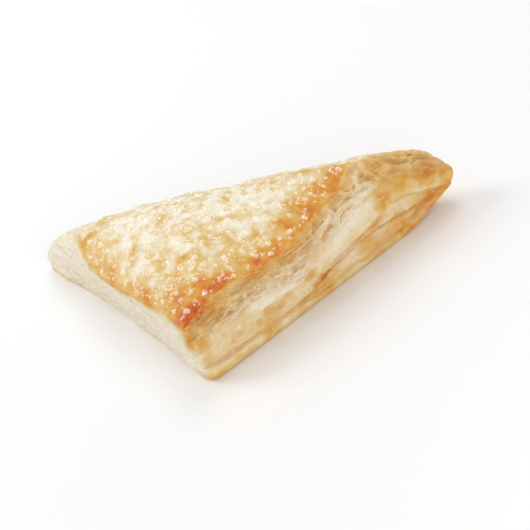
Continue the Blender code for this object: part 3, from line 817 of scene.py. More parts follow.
def openness(wall):
    """How open the crumb is at each point of the wall: none on the fold, most above the ridge."""
    above_ridge = rise(wall.height, curve(RIDGE_CREST, wall.right_place), RIDGE_FADE)
    above_lip = rise(wall.height, curve(LIP_TOP, wall.right_place), LIP_FADE)
    lip, flap, web = RIGHT_OPENNESS
    return wall.by_side(LEFT_OPENNESS, lip + flap * above_lip + web * above_ridge, 0)


def rim_index(i, j, side):
    """Which point of a loop with three equal sides is at the border of a triangular grid."""
    if i + j == side and j < side:
        return j
    if i == 0 and j > 0:
        return 2 * side - j
    return 2 * side + i


def skin_point(i, j, dough, rim):
    """A point of the top skin with its place round the rim and how far out it is."""
    least = min(i, j, dough.columns - i - j)
    side = dough.columns - 3 * least
    if side <= 0:
        return Vector((*CROWN_CENTRE.xy, dough.crown_height)), 0.0, 0.0
    edge = rim_index(i - least, j - least, side) / side
    at = edge * LOOP_SAMPLES
    low, part = int(at) % len(rim), at - int(at)
    place = Vector(rim[low]).lerp(Vector(rim[(low + 1) % len(rim)]), part)
    out = side / dough.columns
    flat = CROWN_CENTRE.xy.lerp(place.xy, out)
    height = place.z + (dough.crown_height - place.z) * (1 - out ** 2)
    return Vector((*flat, height)), edge % 3, out


def skin_lift(points):
    """How far the bumps, blisters and flakes of the top skin raise each of its points."""
    flat = points * [1, 1, 0]
    return ripple(points, *SWELLS) + ripple(flat, *BLISTERS) + flake_relief(flat, 55)


def split_relief(points):
    """The split in the front tip."""
    start, end = (np.array(p) for p in TIP_SPLIT)
    along = np.clip((points[:, :2] - start) @ (end - start) / ((end - start) @ (end - start)), 0, 1)
    aside = np.linalg.norm(points[:, :2] - start - along[:, None] * (end - start), axis=1)
    aside += ripple(points * [1, 1, 0], TIP_SPLIT_BEND)
    return -TIP_SPLIT_DEPTH * ease(1.5 - np.abs(aside) / TIP_SPLIT_WIDTH) * ease(along / TIP_SPLIT_FADE)


def top_skin(dough, rim_start):
    """Inner points of the top skin, their places round the rim and outwards, and all its faces."""
    columns, rim = dough.columns, rim_loop(dough)
    index, inner = {}, []
    for i in range(columns + 1):
        for j in range(columns + 1 - i):
            if min(i, j, columns - i - j) == 0:
                index[i, j] = rim_start + rim_index(i, j, columns)
            else:
                index[i, j] = rim_start + 3 * columns + len(inner)
                inner.append(skin_point(i, j, dough, rim))
    faces = []
    for i, j in index:
        if i + j < columns:
            faces.append((index[i, j], index[i + 1, j], index[i, j + 1]))
        if i + j < columns - 1:
            faces.append((index[i + 1, j], index[i + 1, j + 1], index[i, j + 1]))
    points, edge, out = (np.array(values) for values in zip(*inner))
    points[:, 2] += skin_lift(points) + split_relief(points)
    return points, edge, out, faces


def underside(foot, rows):
    """Rings of points from the flat middle of the underside out towards the lower edge."""
    centre = np.array(BASE_CENTRE)
    flat = (centre + FLAT_SHARE * (foot - centre)) * [1, 1, 0]
    share = (np.arange(rows) / rows)[:, None, None]
    rings = flat + (foot - flat) * share
    rings[:, :, 2] = foot[:, 2] * share[:, :, 0] ** 2
    return rings.reshape(-1, 3)


def pooled(points, spots):
    """The strongest pull of round patches, given as x, y, reach and strength, at each point."""
    pull = np.zeros(len(points))
    for x, y, reach, strength in spots:
        apart = np.linalg.norm(points[:, :2] - [x, y], axis=1)
        pull = np.maximum(pull, strength * np.exp(-(apart / reach) ** 2))
    return pull


def mottled(points, amount, offset):
    """Factors about 1 that break up the browning into blotches and speckles."""
    return 1 + amount * ripple(points, *MOTTLES, shift=offset)


def rim_browning(points, edge):
    """How browned the rim is, in patches with paler stretches between them."""
    return curve(RIM_BROWNING, edge) * (RIM_MEAN + ripple(points * [1, 1, 0], RIM_PATCHES))


def skin_browning(points, edge, out):
    """How browned the top skin is, more towards its rim and in patches."""
    bent = points + np.stack([ripple(points, SKIN_PATCH_BEND, shift=k) for k in range(3)], axis=1)
    band = curve(RIM_BAND, edge) * (1 + ripple(points, RIM_BAND_WAVE))
    rim = rim_browning(points, edge) * rise(out, 1 - band, band)
    patches = np.maximum(rim, pooled(bent, SKIN_PATCHES)) * mottled(points, 1, 84)
    base = SKIN_BROWNING + ripple(points, *SKIN_MOTTLES)
    base += SKIN_FRONT_BROWNING * fall(points[:, 1], *SKIN_FRONT)
    return np.clip(np.maximum(base, patches + SKIN_UNDER_PATCHES * base), 0, 1)


def wall_browning(wall):
    """How browned the wall is: the cut sides stay pale, the fold and the lower edge colour. Some patches in
    the hollows and under the ridge are painted shade, and the pale crest of the ridge is partly, the paler
    top of the fold wholly, a painted highlight.
    """
    points, place, height = wall.points, wall.right_place, wall.height
    crest = curve(RIDGE_CREST, place)
    bent = ripple(points, SIDE_PATCH_BEND)
    along = np.stack([place + bent, height + bent], axis=1)
    across = along - np.stack([wall.left_place, 0 * bent], axis=1)
    # Patches of the right cut side: browning, and painted shade in the hollows and under the ridge
    patches = np.maximum(pooled(along, SIDE_BROWNING_AND_SHADE) * wall.on_right, pooled(across, CORNER_PATCHES))
    above = rise(height, crest + RIDGE_BAND_RISE, RIDGE_FADE)
    crumb = CUT_BROWNING + (curve(WEB_BROWNING, place) - CUT_BROWNING) * above
    # Pale band along the ridge: pale dough, with a painted highlight on its crest
    ridge = np.exp(-((height - crest + RIDGE_BAND_RISE) / RIDGE_BAND) ** 2) * rise(place, *RIDGE_PALE_START)
    right = crumb + (RIDGE_BROWNING - crumb) * ridge
    fold = FOLD_BROWNING + ripple(points, *FOLD_MOTTLES)
    # Painted highlight: the fold pales towards its top
    fold *= 1 - FOLD_PALING * rise(wall.share, *FOLD_PALE)
    low = LOW_EDGE_BROWNING * np.exp(-(wall.from_foot / LOW_EDGE_REACH) ** 2) * wall.by_side(*LOW_EDGE_SIDES)
    hem = HEM_BROWNING * rim_browning(points, wall.edge)
    hem *= np.exp(-(wall.from_rim / wall.by_side(*HEM_REACHES)) ** 2)
    browning = np.maximum.reduce([wall.by_side(0, right, fold), patches, low, hem])
    return browning * mottled(points @ np.array(MOTTLE_TURN), WALL_MOTTLE, 94)


def gap_shade(wall):
    """How much painted shade the named gaps of the right cut side put at each point of the wall."""
    place = wall.right_place
    height = wall.height + ripple(wall.points, GAP_BEND)
    shade = np.zeros(len(place))
    for line, width, strength in GAPS:
        ends = rise(place, line[0][0], GAP_FADE) * fall(place, line[-1][0], GAP_FADE)
        near = np.exp(-((height - curve(line, place)) / width) ** 2)
        shade = np.maximum(shade, strength * near * ends)
    return shade * wall.on_right


def blurred(grid, reach):
    """A grid of numbers averaged over some rows and columns each way."""
    total = np.zeros_like(grid)
    padded = np.pad(grid, ((reach, reach), (0, 0)), mode="edge")
    shifts = range(-reach, reach + 1)
    for row in shifts:
        for column in shifts:
            total += np.roll(padded[reach + row:reach + row + len(grid)], column, axis=1)
    return total / len(shifts) ** 2


def hollow_shade(wall, relief):
    """How far each point of the wall lies in a hollow, which sets how much painted shade darkens its colour
    there.
    """
    hollow = np.clip(sum((blurred(relief, reach) - relief) / depth for reach, depth in SHADES), 0, 1)
    hollow = hollow.ravel() * ease((1 - wall.share) / SHADE_RIM_FADE)
    sunk = np.maximum(-hollow_relief(wall.right_place, wall.height), 0) / HOLLOW_SHADE_DEPTH
    return hollow * wall.by_side(LEFT_SHADE, 1, 1) + sunk * wall.on_right


def fold_sugar(wall):
    """How densely fine sugar lies on the upper part of the fold."""
    cover = FOLD_SUGAR * ease(0.5 + ripple(wall.points, FOLD_SUGAR_CLUMPS))
    return cover * wall.on_back * rise(wall.share, FOLD_SUGAR_FOOT, 1 - FOLD_SUGAR_FOOT)


def sugar_cover(points, out):
    """How densely fine sugar lies on the top skin."""
    cover = SUGAR_LEAST + SUGAR_IN_CLUMPS * ease(0.45 + ripple(points, SUGAR_CLUMPING))
    cover *= 1 - BARENESS * pooled(points, BARE_PATCHES)
    cover = np.maximum(cover, pooled(points, SUGAR_CLUMPS))
    cover *= GRAVEL_LEAST + (1 - GRAVEL_LEAST) * ease(0.5 + ripple(points, GRAVEL))
    return cover * fall(out, SUGAR_RIM, SUGAR_RIM_FADE)


def pastry_shape(dough):
    """Points and faces of the whole pastry, and what its material and sugar need to know at each point."""
    count, rows = 3 * dough.columns, dough.under_rows + dough.rows
    wall = Wall(dough)
    relief = wall_relief(dough, wall)
    crust = wall.grid + normals_of(wall.grid) * relief[:, :, None]
    drape = ease((np.arange(dough.rows + 1) - dough.rows + RIM_ROWS) / RIM_ROWS)
    crust[:, :, 2] += skin_lift(wall.grid[-1]) * drape[:, None]
    crust[:, :, 2] = np.maximum(crust[:, :, 2], 0)
    under = underside(wall.grid[0], dough.under_rows)
    skin, edge, out, skin_faces = top_skin(dough, rows * count)
    points = np.concatenate([under, crust.reshape(-1, 3), skin])
    faces = [tuple(reversed(range(count)))]
    for start in range(0, rows * count, count):
        for column in range(count):
            a, b = start + column, start + (column + 1) % count
            faces.append((a, b, b + count, a + count))
    below, above = np.zeros(len(under)), np.zeros(len(skin))
    under_tone = UNDER_BROWNING * mottled(under, UNDER_MOTTLE, 97)
    fields = {
        "browning": (under_tone, wall_browning(wall), skin_browning(skin, edge, out)),
        # The hollow and gap fields are painted shade, taken from the relief of the wall
        "hollow": (below, hollow_shade(wall, relief), above),
        "gap": (below, gap_shade(wall), above),
        "open": (below, openness(wall), above),
        "sugar": (below, fold_sugar(wall), sugar_cover(skin, out)),
    }
    return points, faces + skin_faces, {name: np.concatenate(parts) for name, parts in fields.items()}


def mesh_of(name, points, faces, fields, smooth):
    """A mesh from points and faces, with a number at each point for each named field."""
    mesh = bpy.data.meshes.new(name)
    mesh.from_pydata([tuple(p) for p in points], [], faces)
    for field, values in fields.items():
        mesh.attributes.new(field, "FLOAT", "POINT").data.foreach_set("value", np.float32(values))
    mesh.polygons.foreach_set("use_smooth", [smooth] * len(mesh.polygons))
    return mesh


def show(name, mesh, material):
    """Puts a finished mesh in the scene as a piece of the pastry."""
    piece = bpy.data.objects.new(name, mesh)
    bpy.context.scene.collection.objects.link(piece)
    mesh.materials.clear()
    mesh.materials.append(material)
    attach(piece, BODY)
    return piece


def found(name):
    """The piece of this name, which an earlier step has to have made."""
    if name not in bpy.data.objects:
        raise RuntimeError(f"make {name} first")
    return bpy.data.objects[name]


def node(tree, kind, settings, links):
    """Adds a node with its settings and its inputs, each a value or the output that feeds it."""
    made = tree.nodes.new(kind)
    for name, value in settings.items():
        setattr(made, name, value)
    for name, value in links.items():
        if isinstance(value, bpy.types.NodeSocket):
            tree.links.new(value, made.inputs[name])
        else:
            made.inputs[name].default_value = value
    return made


def blank_material(name):
    """A material with an empty node tree."""
    material = bpy.data.materials.new(name)
    material.use_nodes = True
    material.node_tree.nodes.clear()
    return material


def puff_pastry(bake):
    """Baked puff pastry: thin layers of laminated dough, matt and slightly translucent.

    The eye gets pale crumb that turns straw, gold and russet with the bake, with painted shade in its
    hollows, pockets and gaps.
    """
    material = blank_material("baked_puff_pastry")
    tree = material.node_tree
    place = node(tree, "ShaderNodeTexCoord", {}, {}).outputs["Object"]
    # The hollow and gap fields carry painted shade
    baked, hollow, opened, gap = (
        node(tree, "ShaderNodeAttribute", {"attribute_name": name}, {}).outputs["Fac"]
        for name in ("browning", "hollow", "open", "gap"))
    flat, layered = (
        node(tree, "ShaderNodeMapping", {}, {
            "Vector": place, "Scale": [1 / length for length in size]}).outputs["Vector"]
        for size in (POCKET_SIZE, FIBRE_SIZE))
    blotch, grit, fibre = (
        node(tree, "ShaderNodeTexNoise", {}, {
            "Vector": at, "Scale": 1 / size, "Detail": detail, "Roughness": 0.6}).outputs["Fac"]
        for at, size, detail in ((place, BLOTCH_SIZE, 5), (place, GRIT_SIZE, 3), (layered, 1, 3)))
    for pattern, (least, most) in ((blotch, BLOTCH_RANGE), (grit, GRIT_RANGE)):
        uneven = node(tree, "ShaderNodeMapRange", {}, {
            "Value": pattern, "From Min": NOISE_SPAN[0], "From Max": NOISE_SPAN[1],
            "To Min": least, "To Max": most}).outputs["Result"]
        baked = node(tree, "ShaderNodeMath", {"operation": "MULTIPLY"}, {0: baked, 1: uneven}).outputs[0]
    baked = node(tree, "ShaderNodeMath", {"operation": "MULTIPLY"}, {
        0: baked, 1: bake.browning}).outputs[0]
    ramp = node(tree, "ShaderNodeValToRGB", {}, {"Fac": baked})
    stops = ramp.color_ramp.elements
    tones = (bake.dough, bake.straw, bake.golden, bake.amber, bake.russet)
    for number, (at, tone) in enumerate(zip(BAKE_STOPS, tones)):
        stop = stops[number] if number < 2 else stops.new(at)
        stop.position = at
        stop.color = (*tone, 1)
    wall = node(tree, "ShaderNodeTexVoronoi", {"feature": "DISTANCE_TO_EDGE"}, {
        "Vector": flat, "Scale": 1}).outputs["Distance"]
    pocket = node(tree, "ShaderNodeMapRange", {"interpolation_type": "SMOOTHSTEP"}, {
        "Value": wall, "From Min": POCKET_WALL[0], "From Max": POCKET_WALL[1]}).outputs["Result"]
    pocket, fibre = (
        node(tree, "ShaderNodeMath", {"operation": "MULTIPLY"}, {0: value, 1: opened}).outputs[0]
        for value in (pocket, fibre))
    # Painted shade: the crumb's pockets and the wall's hollows darken towards the hollow colour
    recess_shade = node(tree, "ShaderNodeMath", {"operation": "MULTIPLY_ADD"}, {
        0: pocket, 1: POCKET_SHADE, 2: hollow}).outputs[0]
    inside = node(tree, "ShaderNodeMapRange", {}, {"Value": recess_shade, "To Max": HOLLOW_SHADE}).outputs["Result"]
    colour = ramp.outputs["Color"]
    # Painted shade, mixed into the colour: the hollow colour in hollows and pockets, the crevice colour in
    # the gaps
    for share, tone in ((inside, bake.hollow), (gap, bake.crevice)):
        colour = node(tree, "ShaderNodeMix", {"data_type": "RGBA"}, {
            0: share, 6: colour, 7: (*tone, 1)}).outputs[2]
    rough = node(tree, "ShaderNodeMapRange", {}, {
        "Value": baked, "From Min": 0.1, "From Max": 0.8,
        "To Min": PALE_ROUGHNESS, "To Max": BAKED_ROUGHNESS}).outputs["Result"]
    flakes = node(tree, "ShaderNodeTexVoronoi", {"feature": "F1"}, {
        "Vector": place, "Scale": 1 / CRUMB_SIZE}).outputs["Distance"]
    relief = node(tree, "ShaderNodeMath", {"operation": "ADD"}, {0: grit, 1: flakes}).outputs[0]
    bump = node(tree, "ShaderNodeBump", {}, {
        "Height": relief, "Strength": CRUMB_STRENGTH, "Distance": CRUMB_DEPTH}).outputs["Normal"]
    threads = node(tree, "ShaderNodeMath", {"operation": "SUBTRACT"}, {0: fibre, 1: pocket}).outputs[0]
    bump = node(tree, "ShaderNodeBump", {}, {
        "Height": threads, "Strength": FIBRE_STRENGTH, "Distance": FIBRE_DEPTH,
        "Normal": bump}).outputs["Normal"]
    shader = node(tree, "ShaderNodeBsdfPrincipled", {}, {
        "Base Color": colour, "Roughness": rough, "Normal": bump, "IOR": PASTRY_IOR,
        "Subsurface Weight": DOUGH_TRANSLUCENCE, "Subsurface Radius": DOUGH_GLOW,
        "Subsurface Scale": DOUGH_GLOW_REACH}).outputs["BSDF"]
    node(tree, "ShaderNodeOutputMaterial", {}, {"Surface": shader})
    return material


def crystal_sugar():
    """Crystallised sugar: clear, blocky grains with sharp facets that glint against the crust.

    They let more of the light through to the crust than they let the eye see of it.
    """
    material = blank_material("crystal_sugar")
    tree = material.node_tree
    place = node(tree, "ShaderNodeTexCoord", {}, {}).outputs["Object"]
    cloud = node(tree, "ShaderNodeTexNoise", {}, {
        "Vector": place, "Scale": 1 / CLOUD_SIZE, "Detail": 2}).outputs["Fac"]
    rough = node(tree, "ShaderNodeMapRange", {}, {
        "Value": cloud, "From Min": 0.35, "From Max": 0.65,
        "To Min": SUGAR_ROUGHNESS[0], "To Max": SUGAR_ROUGHNESS[1]}).outputs["Result"]
    in_shade = node(tree, "ShaderNodeLightPath", {}, {}).outputs["Is Shadow Ray"]
    alpha = node(tree, "ShaderNodeMapRange", {}, {
        "Value": in_shade, "To Min": SUGAR_ALPHA, "To Max": SUGAR_SHADOW}).outputs["Result"]
    shader = node(tree, "ShaderNodeBsdfPrincipled", {}, {
        "Base Color": (*linear_of(SUGAR_COLOUR), 1), "Roughness": rough, "IOR": SUGAR_IOR,
        "Alpha": alpha}).outputs["BSDF"]
    node(tree, "ShaderNodeOutputMaterial", {}, {"Surface": shader})
    return material


def lacquered_floor(studio):
    """White lacquered board: smooth and faintly glossy, so that the pastry's foot is mirrored softly."""
    material = blank_material("white_lacquer")
    tree = material.node_tree
    place = node(tree, "ShaderNodeTexCoord", {}, {}).outputs["Object"]
    haze = node(tree, "ShaderNodeTexNoise", {}, {"Vector": place, "Scale": 1 / HAZE_SIZE}).outputs["Fac"]
    rough = node(tree, "ShaderNodeMapRange", {}, {
        "Value": haze, "To Min": FLOOR_ROUGHNESS[0], "To Max": FLOOR_ROUGHNESS[1]}).outputs["Result"]
    shader = node(tree, "ShaderNodeBsdfPrincipled", {}, {
        "Base Color": (*studio.floor_colour, 1), "Roughness": rough, "IOR": LACQUER_IOR}).outputs["BSDF"]
    node(tree, "ShaderNodeOutputMaterial", {}, {"Surface": shader})
    return material


def grain_sizes(sugar):
    """Lengths of the coarse grains, largest first."""
    share = np.linspace(0, 1, GRAINS) ** GRAIN_SIZE_FALL
    return sugar.largest + (sugar.smallest - sugar.largest) * share


def grain_spots(dough, chance):
    """Places of the grains on the top skin, each the most open of a few drawn at random."""
    rim = rim_loop(dough)[::GRAIN_RIM_STEP]
    spots = []
    for _ in range(GRAINS):
        tries = []
        for _ in range(GRAIN_TRIES):
            edge = Vector(rim[chance.randrange(len(rim))]).xy
            out = GRAIN_MARGIN * sqrt(chance.random())
            tries.append(CROWN_CENTRE.xy.lerp(edge, out))
        spots.append(max(tries, key=lambda spot: min(((spot - s).length for s in spots), default=1)))
    return spots


def grain_shape(chance, length):
    """Corners of one blocky crystal about the origin."""
    size = Vector((length, length * chance.uniform(*GRAIN_WIDTH), length * chance.uniform(*GRAIN_HEIGHT)))
    turn = Euler([chance.uniform(0, 2 * pi) for _ in range(3)]).to_matrix()
    return [turn @ (Vector(signs) * size * chance.uniform(*GRAIN_CORNER_REACH))
            for signs in product((-0.5, 0.5), repeat=3)]


def coarse_grains(dough, sugar, crust):
    """One mesh of all the coarse grains, each sunk a little into the crust."""
    chance = random.Random(GRAIN_SEED)
    high = 2 * dough.crown_height
    shape = bmesh.new()
    for spot, length in zip(grain_spots(dough, chance), grain_sizes(sugar)):
        corners = grain_shape(chance, length)
        hit, place, normal, _ = crust.ray_cast(Vector((*spot, high)), Vector((0, 0, -1)))
        if not hit:
            raise RuntimeError("a sugar grain lies beside the pastry")
        lowest = min(corner.dot(normal) for corner in corners)
        tallest = max(corner.dot(normal) for corner in corners)
        lift = normal * (-lowest - GRAIN_SUNK * (tallest - lowest))
        made = [shape.verts.new(place + corner + lift) for corner in corners]
        bmesh.ops.convex_hull(shape, input=made)
    loose = [corner for corner in shape.verts if not corner.link_faces]
    bmesh.ops.delete(shape, geom=loose, context="VERTS")
    bmesh.ops.recalc_face_normals(shape, faces=shape.faces[:])
    mesh = bpy.data.meshes.new("coarse_sugar")
    shape.to_mesh(mesh)
    shape.free()
    return mesh


def crystal_tree(material):
    """Geometry Nodes that scatter blocky crystals over a surface where its sugar field is high."""
    tree = bpy.data.node_groups.new("scatter_crystals", "GeometryNodeTree")
    for name, kind in (("Geometry", "Geometry"), ("Density", "Float"), ("Size", "Float"), ("Seed", "Int")):
        tree.interface.new_socket(name, in_out="INPUT", socket_type="NodeSocket" + kind)
    tree.interface.new_socket("Geometry", in_out="OUTPUT", socket_type="NodeSocketGeometry")
    given = node(tree, "NodeGroupInput", {}, {}).outputs
    cover = node(tree, "GeometryNodeInputNamedAttribute", {"data_type": "FLOAT"}, {
        "Name": "sugar"}).outputs["Attribute"]
    gap = node(tree, "ShaderNodeMath", {"operation": "MULTIPLY"}, {
        0: given["Size"], 1: CRYSTAL_GAP}).outputs[0]
    spots = node(tree, "GeometryNodeDistributePointsOnFaces", {"distribute_method": "POISSON"}, {
        "Mesh": given["Geometry"], "Distance Min": gap, "Density Max": given["Density"],
        "Density Factor": cover, "Seed": given["Seed"]}).outputs["Points"]
    knock, turn, stretch = (
        node(tree, "FunctionNodeRandomValue", {"data_type": "FLOAT_VECTOR"}, {
            "Min": least, "Max": most, "Seed": seed}).outputs["Value"]
        for least, most, seed in (CRYSTAL_KNOCK, CRYSTAL_TURN, CRYSTAL_STRETCH))
    block = node(tree, "GeometryNodeMeshCube", {}, {"Size": (1, 1, 1)}).outputs["Mesh"]
    block = node(tree, "GeometryNodeSetPosition", {}, {"Geometry": block, "Offset": knock}).outputs[0]
    size = node(tree, "ShaderNodeVectorMath", {"operation": "SCALE"}, {
        0: stretch, "Scale": given["Size"]}).outputs[0]
    laid = node(tree, "GeometryNodeInstanceOnPoints", {}, {
        "Points": spots, "Instance": block, "Rotation": turn, "Scale": size}).outputs[0]
    whole = node(tree, "GeometryNodeRealizeInstances", {}, {"Geometry": laid}).outputs[0]
    coated = node(tree, "GeometryNodeSetMaterial", {}, {"Geometry": whole, "Material": material}).outputs[0]
    node(tree, "NodeGroupOutput", {}, {"Geometry": coated})
    return tree


def grown(piece, tree, values):
    """The plain mesh that a Geometry Nodes tree makes of a piece, which keeps no modifier."""
    work = bpy.data.objects.new("work", piece.data)
    bpy.context.scene.collection.objects.link(work)
    grow = work.modifiers.new("grow", "NODES")
    grow.node_group = tree
    for socket in tree.interface.items_tree:
        if socket.in_out == "INPUT" and socket.name in values:
            grow[socket.identifier] = values[socket.name]
    view = bpy.context.evaluated_depsgraph_get()
    mesh = bpy.data.meshes.new_from_object(work.evaluated_get(view))
    bpy.data.objects.remove(work)
    if not mesh.polygons:
        raise RuntimeError(f"{tree.name} made nothing")
    return mesh


def leaf_points(crust, normal, chance, leaf, columns, side):
    """Stations of one thin layer along a cut side, as rings of four points."""
    rows, wrap = len(crust) - 1, crust.shape[1]
    length = chance.choice(LEAF_LENGTHS)
    start = chance.uniform(*LEAF_RANGE[side]) * columns
    row = chance.uniform(*LEAF_ROWS[side]) * rows
    slope = chance.gauss(0, LEAF_SLOPE) * rows
    reach = leaf.reach * chance.uniform(*LEAF_REACH)
    wave, droop = chance.uniform(0, 100), chance.uniform(*LEAF_DROOP)
    rings = []
    for k in range(length + 1):
        t = k / length
        column = start + k
        wander = LEAF_WANDER * rows * noise.noise((LEAF_BEND * column, wave, 0))
        up = np.clip(row + slope * t + wander, 2, rows - 2)
        low, level = int(column), int(up)
        mix, part = column - low, up - level
        corners = ((level, low, (1 - part) * (1 - mix)), (level, low + 1, (1 - part) * mix),
                   (level + 1, low, part * (1 - mix)), (level + 1, low + 1, part * mix))
        place, out = (sum(grid[r, c % wrap] * w for r, c, w in corners) for grid in (crust, normal))
        ragged = LEAF_MEAN + LEAF_RAGGED * noise.noise((LEAF_TOOTH * column, wave, 7))
        stretch = reach * sqrt(max(np.sin(pi * t), 0.02)) * max(ragged, 0.15)
        tip = place + out * stretch + np.array((0, 0, droop * stretch))
        root = place - out * LEAF_ROOT
        thick = np.array((0, 0, leaf.thickness / 2)) * max(np.sin(pi * t) ** 0.3, 0.25)
        rings.append((root - thick, tip - 0.5 * thick, tip + 0.5 * thick, root + thick))
    rings = np.array(rings)
    rings[:, :, 2] = np.maximum(rings[:, :, 2], 0)
    return rings


def leaf_mesh(crust, leaf, columns):
    """Thin layers standing out of both cut sides, as one mesh."""
    normal = normals_of(crust)
    chance = random.Random(leaf.seed)
    points, faces, browning = [], [], []
    for side in (0, 1):
        for _ in range(leaf.count):
            rings = leaf_points(crust, normal, chance, leaf, columns, side)
            tone = chance.uniform(*LEAF_BROWNING)
            tip_tone = LEAF_TIP_BROWNING * tone
            first, last = len(points), len(points) + 4 * (len(rings) - 1)
            points.extend(rings.reshape(-1, 3))
            browning.extend([tone, tip_tone, tip_tone, tone] * len(rings))
            faces.append(tuple(first + k for k in range(4)))
            faces.append(tuple(last + k for k in reversed(range(4))))
            for a in range(first, last, 4):
                for k in range(4):
                    b = (k + 1) % 4
                    faces.append((a + k, a + 4 + k, a + 4 + b, a + b))
    return mesh_of("leaves", points, faces, {"browning": np.array(browning)}, True)


class TURNOVER_OT_crust(Operator):
    """Makes the baked pastry with its layers and takes the place of the plain solid"""

    bl_idname = "turnover.crust"
    bl_label = "Bake the crust"

    def execute(self, context):
        scene = context.scene
        mesh = mesh_of("crust", *pastry_shape(scene.turnover_dough), True)
        crust = show("crust", mesh, puff_pastry(scene.turnover_bake))
        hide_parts(NODE)
        return {"FINISHED"}


class TURNOVER_OT_leaves(Operator):
    """Adds the thin layers that stand out of the two cut sides"""

    bl_idname = "turnover.leaves"
    bl_label = "Lift the layers"

    def execute(self, context):
        dough, leaf = context.scene.turnover_dough, context.scene.turnover_leaf
        count = 3 * dough.columns
        mesh = found("crust").data
        places = np.empty(3 * len(mesh.vertices))
        mesh.vertices.foreach_get("co", places)
        start = dough.under_rows * count
        wall = places.reshape(-1, 3)[start:start + (dough.rows + 1) * count]
        leaves = leaf_mesh(wall.reshape(dough.rows + 1, count, 3), leaf, dough.columns)
        show("leaves", leaves, mesh.materials[0])
        return {"FINISHED"}


class TURNOVER_OT_coarse_sugar(Operator):
    """Sets the coarse grains of sugar into the top skin"""

    bl_idname = "turnover.coarse_sugar"
    bl_label = "Set the coarse sugar"

    def execute(self, context):
        scene = context.scene
        mesh = coarse_grains(scene.turnover_dough, scene.turnover_sugar, found("crust"))
        show("coarse_sugar", mesh, crystal_sugar())
        return {"FINISHED"}


class TURNOVER_OT_fine_sugar(Operator):
    """Sprinkles the fine crystals over the top skin, thicker in clumps"""

    bl_idname = "turnover.fine_sugar"
    bl_label = "Sprinkle the fine sugar"

    def execute(self, context):
        sugar = context.scene.turnover_sugar
        values = {"Density": sugar.density, "Size": sugar.crystal, "Seed": sugar.seed}
        crystal = found("coarse_sugar").data.materials[0]
        show("fine_sugar", grown(found("crust"), crystal_tree(crystal), values), crystal)
        return {"FINISHED"}


class TURNOVER_OT_stage(Operator):
    """Lays the floor and sets the lamps, the white room and the camera"""

    bl_idname = "turnover.stage"
    bl_label = "Set the stage"

    def execute(self, context):
        scene = context.scene
        studio = scene.turnover_studio
        half = studio.floor_size / 2
        corners = [(-half, -half, 0), (half, -half, 0), (half, half, 0), (-half, half, 0)]
        mesh = mesh_of("floor", corners, [(0, 1, 2, 3)], {}, False)
        mesh.materials.append(lacquered_floor(studio))
        floor = bpy.data.objects.new("floor", mesh)
        scene.collection.objects.link(floor)
        lamps = (("key", KEY_PLACE, KEY_SIZE, studio.key_power, KEY_TINT),
                 ("top", TOP_PLACE, TOP_SIZE, studio.top_power, TOP_TINT),
                 ("fill", FILL_PLACE, FILL_SIZE, studio.fill_power, FILL_TINT))
        for name, place, size, power, tint in lamps:
            light = bpy.data.lights.new(name, "AREA")
            light.shape = "DISK"
            light.size = size
            light.energy = power
            light.color = linear_of(tint)
            lamp = bpy.data.objects.new(name, light)
            toward = (LIT_PLACE - place).to_track_quat("-Z", "Y").to_matrix().to_4x4()
            lamp.matrix_world = Matrix.Translation(place) @ toward
            scene.collection.objects.link(lamp)
        scene.world = white_room(studio)
        scene.view_settings.view_transform = "Standard"
        scene.camera = set_camera(scene)
        return {"FINISHED"}


def white_room(studio):
    """A room whose white walls glow more than its ceiling, so that upright faces get their share."""
    world = bpy.data.worlds.new("white_room")
    world.use_nodes = True
    tree = world.node_tree
    direction = node(tree, "ShaderNodeTexCoord", {}, {}).outputs["Generated"]
    up = node(tree, "ShaderNodeSeparateXYZ", {}, {"Vector": direction}).outputs["Z"]
    glow = node(tree, "ShaderNodeMapRange", {"interpolation_type": "SMOOTHSTEP"}, {
        "Value": up, "From Min": 0.0, "From Max": CEILING_START,
        "To Min": WALL_GLOW * studio.sky, "To Max": CEILING_GLOW * studio.sky}).outputs["Result"]
    tree.links.new(glow, tree.nodes["Background"].inputs["Strength"])
    tree.nodes["Background"].inputs["Color"].default_value = (1, 1, 1, 1)
    return world


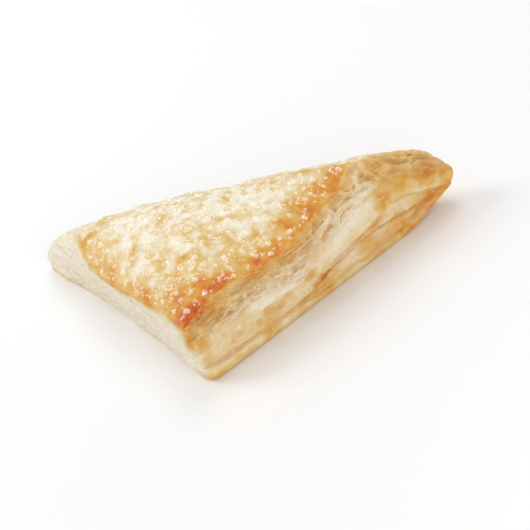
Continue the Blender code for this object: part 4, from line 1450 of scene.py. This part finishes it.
def set_camera(scene):
    """The camera at the photograph's viewing angle, tilted so that the fold runs up to the right."""
    back = Vector((sin(VIEW_AZIMUTH) * cos(VIEW_RISE), -cos(VIEW_AZIMUTH) * cos(VIEW_RISE), sin(VIEW_RISE)))
    level = Vector((cos(VIEW_AZIMUTH), sin(VIEW_AZIMUTH), 0))
    upright = back.cross(level)
    across = level * cos(VIEW_ROLL) - upright * sin(VIEW_ROLL)
    up = level * sin(VIEW_ROLL) + upright * cos(VIEW_ROLL)
    camera = bpy.data.objects.new("camera", bpy.data.cameras.new("camera"))
    camera.data.lens = LENS
    camera.data.sensor_width = SENSOR
    camera.data.clip_start = 0.01
    turn = Matrix((across, up, back)).transposed().to_4x4()
    camera.matrix_world = Matrix.Translation(VIEW_AIM + VIEW_DISTANCE * back) @ turn
    scene.collection.objects.link(camera)
    return camera


class TURNOVER_PT_panel(Panel):
    """Lists the settings and the steps in the order in which they are made"""

    bl_label = "Apple Turnover"
    bl_idname = "TURNOVER_PT_panel"
    bl_space_type = "VIEW_3D"
    bl_region_type = "UI"
    bl_category = "Turnover"

    def draw(self, context):
        layout = self.layout
        for step, settings in STEPS:
            box = layout.box()
            box.operator(step.bl_idname)
            if settings:
                group = getattr(context.scene, settings)
                for name in group.bl_rna.properties.keys():
                    if name not in ("rna_type", "name"):
                        box.prop(group, name)


SETTINGS = (("turnover_dough", DoughSettings), ("turnover_bake", BakeSettings),
            ("turnover_leaf", LeafSettings), ("turnover_sugar", SugarSettings),
            ("turnover_studio", StudioSettings))
STEPS = ((TURNOVER_OT_crust, "turnover_dough"), (TURNOVER_OT_leaves, "turnover_leaf"),
         (TURNOVER_OT_coarse_sugar, "turnover_sugar"), (TURNOVER_OT_fine_sugar, None),
         (TURNOVER_OT_stage, "turnover_studio"))


def register():
    for name, group in SETTINGS:
        bpy.utils.register_class(group)
        setattr(bpy.types.Scene, name, PointerProperty(type=group))
    for step, _ in STEPS:
        bpy.utils.register_class(step)
    bpy.utils.register_class(TURNOVER_PT_panel)


def unregister():
    bpy.utils.unregister_class(TURNOVER_PT_panel)
    for step, _ in reversed(STEPS):
        bpy.utils.unregister_class(step)
    for name, group in reversed(SETTINGS):
        delattr(bpy.types.Scene, name)
        bpy.utils.unregister_class(group)


def main():
    register()
    bpy.ops.turnover.crust()
    bpy.ops.turnover.leaves()
    bpy.ops.turnover.coarse_sugar()
    bpy.ops.turnover.fine_sugar()
    bpy.ops.turnover.stage()


if __name__ == "__main__":
    main()
